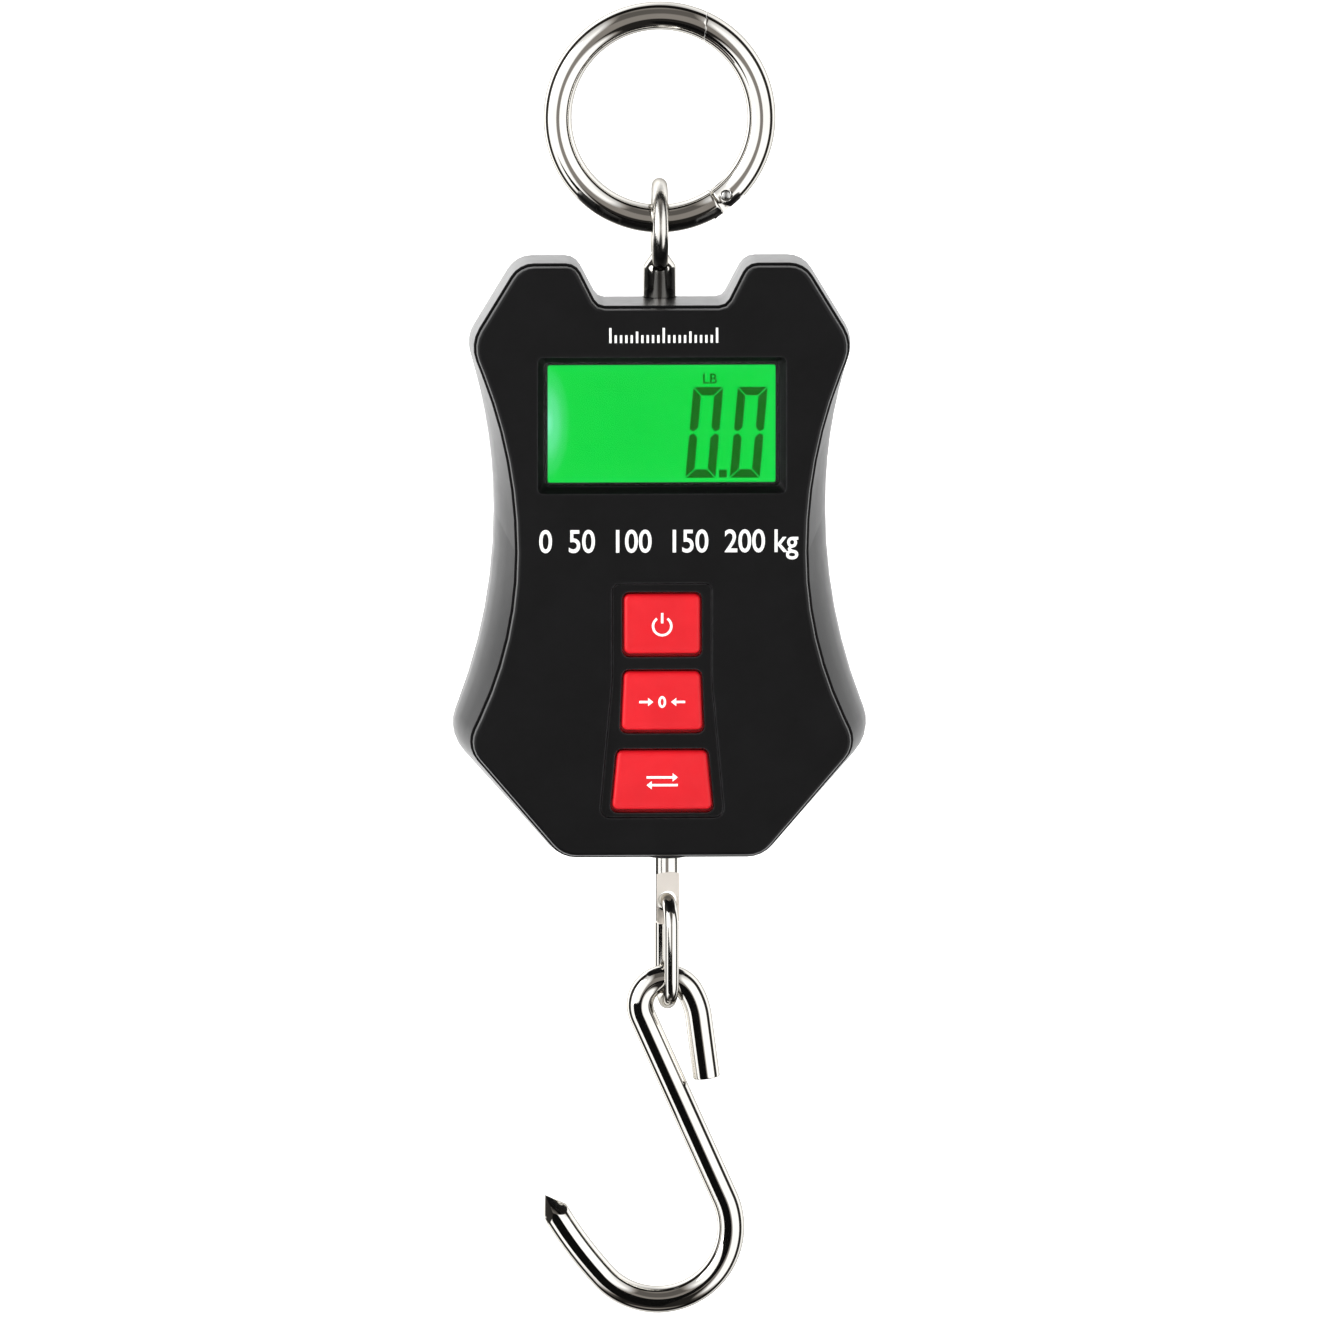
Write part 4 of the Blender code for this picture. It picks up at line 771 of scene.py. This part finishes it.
def key_cap(key, shape):
    """A moulded key: rounded edge, a face that dips a little, and the flange behind the plate."""
    low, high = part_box("button_" + key)
    levels = [(0.0, high.y), (0.0, low.y + KEY_EDGE)]
    levels += [(KEY_EDGE * (1.0 - math.cos(a)), low.y + KEY_EDGE * (1.0 - math.sin(a)))
               for a in (math.radians(18.0 * k) for k in range(1, 6))]
    levels += [(inset * MM, low.y + dip * MM) for inset, dip in KEY_DIP]
    rings = [[Vector((x, y, z)) for x, z in key_outline(shape, inset)] for inset, y in levels]
    cap = loft("button_%s_cap" % key, rings)
    flange = [[Vector((x, y, z)) for x, z in key_outline(shape, -FLANGE_REACH)]
              for y in (high.y, high.y - FLANGE_THICKNESS)]
    carve(cap, loft("flange", flange), "UNION")
    dress(soften(cap, 30.0), "key_red", key + "_key", "button_" + key)


# ---------------------------------------------------------------- display

# The reading: its left sides, foot, digit size, stroke and lean, then its point and its unit.
DIGIT_LEFTS = (4.55 * MM, 13.05 * MM)
DIGIT_FOOT_Z = 15.75 * MM
DIGIT_WIDTH = 5.75 * MM
DIGIT_HEIGHT = 17.5 * MM
DIGIT_STROKE = 1.62 * MM
DIGIT_LEAN = math.radians(5.0)
DIGIT_GAP = 0.15 * MM
POINT_X = 11.75 * MM
POINT_HALF = 0.75 * MM
UNIT_SIZE = 2.75 * MM
UNIT_PLACE = (9.2 * MM, 33.95 * MM)


def screen_corners():
    """The lit field of the display, inside its dark border."""
    side = 2.0 * MM
    return (Vector((LCD_LOW.x + side, LCD_LOW.y - 0.16 * MM, LCD_LOW.z + 1.85 * MM)),
            Vector((LCD_HIGH.x - side, LCD_LOW.y - 0.02 * MM, LCD_HIGH.z - 1.98 * MM)))


def screen():
    low, high = screen_corners()
    corners = [(low.x, low.z), (high.x, low.z), (high.x, high.z), (low.x, high.z)]
    plate = prism("display_screen", rounded_outline(corners, 0.4 * MM, 4), low.y, high.y)
    plate.data.materials.append(screen_glow())
    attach(plate, "case")


def zero_digit(x, z):
    """The six outer segments of a seven-segment zero: mitred corners, pointed at mid height."""
    width, height, thick, gap = DIGIT_WIDTH, DIGIT_HEIGHT, DIGIT_STROKE, DIGIT_GAP
    lean = math.tan(DIGIT_LEAN)
    middle = height / 2
    level = [(gap, height), (width - gap, height), (width - thick - gap, height - thick),
             (thick + gap, height - thick)]
    upright = [(0.0, height - gap), (thick, height - thick - gap),
               (thick, middle + 0.55 * thick + gap), (0.5 * thick, middle + gap),
               (0.0, middle + 0.3 * thick + gap)]
    segments = []
    for shape in (level, upright):
        for turned_over in (False, True):
            segments.append([(px, height - pz) if turned_over else (px, pz) for px, pz in shape])
    segments += [[(width - px, pz) for px, pz in shape] for shape in segments[2:]]
    return [[(x + px + pz * lean, z + pz) for px, pz in shape] for shape in segments]


def print_shapes(name, outlines, material, low_y, high_y, body="case"):
    """Flat shapes in XZ as one thin raised print."""
    mesh = bmesh.new()
    for outline in outlines:
        rows = [[mesh.verts.new((x, y, z)) for x, z in outline] for y in (low_y, high_y)]
        mesh.faces.new(rows[0])
        mesh.faces.new(rows[1])
        for i in range(len(outline)):
            j = (i + 1) % len(outline)
            mesh.faces.new((rows[0][i], rows[0][j], rows[1][j], rows[1][i]))
    bmesh.ops.recalc_face_normals(mesh, faces=mesh.faces)
    obj = as_object(name, mesh)
    obj.data.materials.append(material)
    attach(obj, body)


def readout():
    """The reading 0.0 at the right of the display."""
    low_y = screen_corners()[0].y - 0.05 * MM
    high_y = low_y + 0.04 * MM
    outlines = []
    for left in DIGIT_LEFTS:
        outlines += zero_digit(left, DIGIT_FOOT_Z)
    outlines.append(bar(POINT_X, DIGIT_FOOT_Z + 0.8 * MM, POINT_HALF, POINT_HALF))
    material = surface("segment_dark", (0.0, 0.02, 0.001), 0.5, grain=3000.0, depth=0.001,
                       Specular_IOR_Level=0.0)
    tree = material.node_tree
    shader = tree.nodes["Principled BSDF"]
    shader.inputs["Emission Color"].default_value = (0.002, 0.115, 0.002, 1.0)
    plug(tree, shader.inputs["Emission Strength"], seen_light(tree))
    print_shapes("display_digits", outlines, material, low_y, high_y)
    lettering("display_unit", "LB", UNIT_SIZE, UNIT_PLACE, low_y, high_y, material,
              bold=0.03 * MM)


# ---------------------------------------------------------------- printing

ICON_LINE = 0.46 * MM
ICON_HEAD = 1.0 * MM
TICK_COUNT = 21
TICK_PITCH = 1.02 * MM
TICK_MIDDLE_X = 0.3 * MM
TICK_FOOT_Z = 42.2 * MM
TICK_HALF_WIDTH = 0.22 * MM
NUMBER_SIZE = 6.2 * MM
NUMBER_PLACE = (1.2 * MM, 1.9 * MM)
NUMBER_WIDTH = 49.6 * MM


def lettering(name, text, size, place, low_y, high_y, material, bold, width=None):
    """Numbers and units, centred on place, as a thin raised print; width squeezes the line."""
    curve = bpy.data.curves.new(name, "FONT")
    curve.body = text
    curve.size = size
    curve.offset = bold
    curve.align_x = "CENTER"
    curve.resolution_u = 6
    curve.extrude = (high_y - low_y) / 2
    temporary = bpy.data.objects.new(name + "_curve", curve)
    bpy.context.scene.collection.objects.link(temporary)
    graph = bpy.context.evaluated_depsgraph_get()
    data = bpy.data.meshes.new_from_object(temporary.evaluated_get(graph))
    bpy.data.objects.remove(temporary)
    if width:
        reach = max(v.co.x for v in data.vertices) - min(v.co.x for v in data.vertices)
        data.transform(Matrix.Scale(width / reach, 4, Vector((1, 0, 0))))
    data.transform(Matrix.Rotation(math.pi / 2, 4, "X"))
    data.transform(Matrix.Translation((place[0], (low_y + high_y) / 2, place[1])))
    obj = bpy.data.objects.new(name, data)
    bpy.context.scene.collection.objects.link(obj)
    data.materials.clear()
    data.materials.append(material)
    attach(obj, "case")


def bar(x, z, half_width, half_height):
    return [(x - half_width, z - half_height), (x + half_width, z - half_height),
            (x + half_width, z + half_height), (x - half_width, z + half_height)]


def band(centre, radius, width, start, end):
    """Part of a flat ring."""
    outer = arc(centre, radius + width / 2, math.radians(start), math.radians(end), 28)
    inner = arc(centre, radius - width / 2, math.radians(end), math.radians(start), 28)
    return outer + inner


def zero_sign(x, z, half_width, half_height):
    """An upright oval, open by a hair so that it is one outline."""
    turns = [math.radians(-89.0 + 358.0 * i / 36) for i in range(37)]
    line = ICON_LINE
    outer = [(x + half_width * math.cos(a), z + half_height * math.sin(a)) for a in turns]
    inner = [(x + (half_width - line) * math.cos(a), z + (half_height - line) * math.sin(a))
             for a in reversed(turns)]
    return outer + inner


def arrow(x, z, length):
    """A horizontal arrow whose tip is at x; a negative length points left."""
    way = math.copysign(1.0, length)
    half = ICON_LINE / 2
    neck = x - way * ICON_HEAD
    tail = x - length
    points = [(x, z), (neck, z + ICON_HEAD * 0.8), (neck, z + half), (tail, z + half),
              (tail, z - half), (neck, z - half), (neck, z - ICON_HEAD * 0.8)]
    return points if way > 0 else list(reversed(points))


def key_icons(white):
    """Power, zero and unit-change signs on the keys."""
    middle = {key: (shape[2] + shape[3]) / 2 * MM for key, shape in KEYS.items()}
    face = {key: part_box("button_" + key)[0].y + KEY_DIP[-1][1] * MM for key in KEYS}

    def place(key, outlines):
        print_shapes("icon_" + key, outlines, white, face[key] - 0.04 * MM, face[key] + 0.03 * MM,
                     key + "_key")

    z = middle["power"]
    place("power", [band((0.0, z - 0.2 * MM), 1.75 * MM, ICON_LINE, 125.0, 415.0),
                    bar(0.0, z + 1.35 * MM, ICON_LINE / 2, 1.0 * MM)])
    z = middle["tare"]
    place("tare", [arrow(-1.7 * MM, z, 2.7 * MM), arrow(1.7 * MM, z, -2.7 * MM),
                   zero_sign(0.0, z, 0.75 * MM, 1.15 * MM)])
    z = middle["unit"]
    place("unit", [arrow(3.0 * MM, z + 0.75 * MM, 6.0 * MM),
                   arrow(-3.0 * MM, z - 0.75 * MM, -6.0 * MM)])


def scale_print(white):
    """A row of graduations above the window, and numbers from 0 to the limit under it."""
    low_y, high_y = FRONT_Y - 0.03 * MM, FRONT_Y + 0.02 * MM
    ticks = []
    for i in range(TICK_COUNT):
        half = (1.45 if i % 10 == 0 else 1.1 if i % 5 == 0 else 0.75) * MM
        x = (i - TICK_COUNT // 2) * TICK_PITCH + TICK_MIDDLE_X
        ticks.append(bar(x, TICK_FOOT_Z + half, TICK_HALF_WIDTH, half))
    print_shapes("print_ticks", ticks, white, low_y, high_y)
    lettering("print_numbers", "0  50  100  150  200 kg", NUMBER_SIZE, NUMBER_PLACE,
              low_y, high_y, white, bold=0.07 * MM, width=NUMBER_WIDTH)


# ---------------------------------------------------------------- carried-over CAD nodes

SPECIAL = {"lower_stud": milled_steel, "rear_housing": sparked_plastic}
EDGE_WIDTHS = {"front_cover": 0.4 * MM, "rear_housing": 0.2 * MM, "battery_cover": 0.2 * MM}
STEEP = math.radians(32.0)


def smoothing_group():
    """Geometry nodes that smooth all but the steep edges, after the weld modifier has joined the split triangles.
    """
    group = bpy.data.node_groups.new("weld_and_smooth", "GeometryNodeTree")
    group.interface.new_socket("Geometry", in_out="INPUT", socket_type="NodeSocketGeometry")
    group.interface.new_socket("Geometry", in_out="OUTPUT", socket_type="NodeSocketGeometry")
    entry = group.nodes.new("NodeGroupInput")
    leave = group.nodes.new("NodeGroupOutput")
    faces = group.nodes.new("GeometryNodeSetShadeSmooth")
    edges = group.nodes.new("GeometryNodeSetShadeSmooth")
    edges.domain = "EDGE"
    edges.inputs["Shade Smooth"].default_value = False
    angle = group.nodes.new("GeometryNodeInputMeshEdgeAngle")
    steep = group.nodes.new("FunctionNodeCompare")
    steep.data_type = "FLOAT"
    steep.operation = "GREATER_THAN"
    steep.inputs["B"].default_value = STEEP
    links = group.links
    links.new(entry.outputs[0], faces.inputs["Geometry"])
    links.new(faces.outputs[0], edges.inputs["Geometry"])
    links.new(angle.outputs["Unsigned Angle"], steep.inputs["A"])
    links.new(steep.outputs[0], edges.inputs["Selection"])
    links.new(edges.outputs[0], leave.inputs[0])
    return group


def carry_over(name, group, edge_width):
    """Keeps a CAD node: its material, welded and smoothed, with rounded edges if it shows."""
    obj = NODES[name]
    obj.data.materials.clear()
    obj.data.materials.append(SPECIAL[name]() if name in SPECIAL else finish(SLOT_OF[name]))
    if "custom_normal" in obj.data.attributes:
        obj.data.attributes.remove(obj.data.attributes["custom_normal"])
    weld = obj.modifiers.new("weld", "WELD")
    weld.merge_threshold = 0.002 * MM
    if edge_width:
        plain = obj.modifiers.new("plain", "DECIMATE")
        plain.decimate_type = "DISSOLVE"
        plain.angle_limit = math.radians(0.6)
        bevel = obj.modifiers.new("edges", "BEVEL")
        bevel.width = edge_width
        bevel.segments = 3
        bevel.limit_method = "ANGLE"
        bevel.angle_limit = STEEP
        bevel.use_clamp_overlap = True
    smooth = obj.modifiers.new("smooth", "NODES")
    smooth.node_group = group
    if edge_width:
        level = obj.modifiers.new("level", "WEIGHTED_NORMAL")
        level.keep_sharp = True


def carried_nodes():
    group = smoothing_group()
    for name, obj in NODES.items():
        if not obj.hide_render:
            carry_over(name, group, EDGE_WIDTHS.get(name, 0.0))


# ---------------------------------------------------------------- studio

# Brightness of the studio's parts from straight down (0) to straight up (1).
FRONT_LEVEL = ((0.0, 0.05), (0.08, 0.08), (0.16, 1.0), (0.72, 1.0), (0.93, 0.35), (1.0, 0.2))
FRONT_STRIP = ((0.0, 0.25), (0.016, 0.25), (0.03, 0.02), (0.32, 0.02), (0.37, 0.28),
               (0.66, 0.28), (0.72, 0.12), (0.92, 0.12), (0.97, 0.30))
BACK_LEVEL = ((0.0, 0.5), (0.3, 0.9), (0.5, 1.0), (0.85, 0.9), (1.0, 0.3))


def front_wall(tree, x, z, height):
    """White at the sides, with a strip in the middle that is grey, and black below eye level."""
    level = ramp(tree, height, FRONT_LEVEL)
    strip = ramp(tree, height, FRONT_STRIP)
    widen = calc(tree, "MULTIPLY_ADD", calc(tree, "ABSOLUTE", z), 1.4, 1.0)
    reach = calc(tree, "DIVIDE", calc(tree, "ABSOLUTE", x), widen)
    aside = ramp(tree, reach, ((0.15, 0.0), (0.23, 1.0)))
    sides = calc(tree, "MULTIPLY", calc(tree, "MULTIPLY", level, aside), 1.35)
    return calc(tree, "ADD", sides,
                calc(tree, "MULTIPLY", strip, calc(tree, "SUBTRACT", 1.0, aside)))


def back_wall(tree, x, height):
    """Strong white, a little weaker towards the right."""
    right = ramp(tree, calc(tree, "MULTIPLY_ADD", x, 5.0, 0.5), ((0.0, 2.1), (1.0, 1.5)))
    return calc(tree, "MULTIPLY", ramp(tree, height, BACK_LEVEL), right)


def studio_sky():
    """The studio as polished parts reflect it; to the camera it is plain white.

    A strong white wall stands behind the object and a softer one in front. Between them runs a
    narrow dark gap, slightly on the slant.
    """
    world = bpy.data.worlds.new("studio")
    bpy.context.scene.world = world
    world.use_nodes = True
    tree = world.node_tree
    tree.nodes.clear()
    split = add_node(tree, "SeparateXYZ", Vector=add_node(tree, "TexCoord").outputs["Generated"])
    x, y, z = (split.outputs[i] for i in range(3))
    height = calc(tree, "MULTIPLY_ADD", z, 0.5, 0.5)
    front = front_wall(tree, x, z, height)
    back = back_wall(tree, x, height)
    slant = calc(tree, "MULTIPLY_ADD", calc(tree, "ADD", x, z), 0.12, -0.08)
    ahead = calc(tree, "SUBTRACT", calc(tree, "MULTIPLY", y, -1.0), slant)
    gap = ramp(tree, calc(tree, "ABSOLUTE", ahead), ((0.22, 0.02), (0.30, 1.0)))
    facing = ramp(tree, calc(tree, "MULTIPLY_ADD", ahead, 5.0, 0.5), ((0.0, 0.0), (1.0, 1.0)))
    power = calc(tree, "ADD", calc(tree, "MULTIPLY", front, facing),
                 calc(tree, "MULTIPLY", back, calc(tree, "SUBTRACT", 1.0, facing)))
    power = calc(tree, "MULTIPLY", power, gap)
    seen = add_node(tree, "LightPath").outputs["Is Camera Ray"]
    mirrored = calc(tree, "MULTIPLY", power, calc(tree, "SUBTRACT", 1.0, seen))
    white = calc(tree, "MAXIMUM", mirrored, seen)
    warm = ramp(tree, power, ((0.3, 0.0), (0.6, 1.0)))
    tint = mix_colour(tree, calc(tree, "MAXIMUM", warm, seen), (1.0, 0.93, 0.86), (1.0, 1.0, 1.0))
    shade = add_node(tree, "Background", Color=tint, Strength=white)
    out = add_node(tree, "OutputWorld")
    tree.links.new(shade.outputs[0], out.inputs[0])


def dark_card():
    """A black card low in front, on the left, that polished parts below the case reflect."""
    y = AXIS_Y - 0.25
    left, right, low, high = -0.42, 0.030, -0.50, -0.112
    corners = [(left, y, low), (right, y, low), (right, y, high), (left, y, high)]
    mesh = bmesh.new()
    mesh.faces.new([mesh.verts.new(corner) for corner in corners])
    card = as_object("dark_card", mesh)
    material = bpy.data.materials.new("card_black")
    material.use_nodes = True
    shader = material.node_tree.nodes["Principled BSDF"]
    shader.inputs["Base Color"].default_value = (0.004, 0.004, 0.004, 1.0)
    shader.inputs["Roughness"].default_value = 1.0
    shader.inputs["Specular IOR Level"].default_value = 0.0
    card.data.materials.append(material)
    card.visible_camera = False
    card.visible_diffuse = False
    card.visible_shadow = False
    card.visible_transmission = False


def soft_light(name, place, aim, size, watts, mirrored):
    """A rectangular soft box that the camera never sees; polished parts mirror it or not."""
    light = bpy.data.lights.new(name, "AREA")
    light.shape = "RECTANGLE"
    light.size, light.size_y = size
    light.energy = watts
    obj = bpy.data.objects.new(name, light)
    bpy.context.scene.collection.objects.link(obj)
    obj.location = place
    obj.rotation_mode = "QUATERNION"
    obj.rotation_quaternion = (Vector(aim) - Vector(place)).to_track_quat("-Z", "Y")
    obj.visible_camera = False
    obj.visible_glossy = mirrored


def floor():
    """A plain pale floor just under the hook, lit enough to stay pale behind the object."""
    half = 6.0
    height = CAD_BOX[0].z - 0.2 * MM
    mesh = bmesh.new()
    bmesh.ops.create_grid(mesh, x_segments=4, y_segments=4, size=half)
    obj = as_object("floor", mesh)
    obj.location = (0.0, 0.0, height)
    material = bpy.data.materials.new("floor_pale")
    material.use_nodes = True
    tree = material.node_tree
    shader = tree.nodes["Principled BSDF"]
    shader.inputs["Base Color"].default_value = (0.9, 0.9, 0.9, 1.0)
    shader.inputs["Roughness"].default_value = 0.8
    shader.inputs["Emission Color"].default_value = (1.0, 1.0, 1.0, 1.0)
    shader.inputs["Emission Strength"].default_value = 0.8
    obj.data.materials.append(material)
    obj.visible_glossy = False


def camera():
    """A long lens, a little above and to the left of straight ahead. frame_width is what it takes
    in at the object's distance."""
    elevation, yaw = math.radians(7.5), math.radians(1.77)
    frame_width = 253.6 * MM
    lens = 600.0
    data = bpy.data.cameras.new("camera")
    data.lens = lens
    data.sensor_width = 36.0
    distance = frame_width * lens / data.sensor_width
    data.clip_start, data.clip_end = 0.1, 60.0
    obj = bpy.data.objects.new("camera", data)
    bpy.context.scene.collection.objects.link(obj)
    aim = Vector((0.0, AXIS_Y, (CAD_BOX[0].z + CAD_BOX[1].z) / 2))
    back = Vector((-math.sin(yaw) * math.cos(elevation), -math.cos(yaw) * math.cos(elevation),
                   math.sin(elevation)))
    obj.location = aim + back * distance
    obj.rotation_mode = "QUATERNION"
    obj.rotation_quaternion = (-back).to_track_quat("-Z", "Y")
    bpy.context.scene.camera = obj


def studio():
    studio_sky()
    floor()
    dark_card()
    middle = (CAD_BOX[0] + CAD_BOX[1]) / 2
    face = (0.0, 0.0, 0.04)
    soft_light("overhead_light", (-0.10, -0.45, 0.42), face, (0.5, 0.3), 1.1, False)
    soft_light("left_light", (-0.9, -0.5, 0.25), middle, (0.5, 0.9), 5.0, True)
    camera()
    bpy.context.scene.view_settings.view_transform = "Standard"


def main():
    hanging_ring()
    ring_gate()
    gate_pin()
    eye_bolt()
    chain_link()
    s_hook()
    for key, shape in KEYS.items():
        key_cap(key, shape)
    screen()
    readout()
    white = print_white()
    key_icons(white)
    scale_print(white)
    carried_nodes()
    studio()


main()
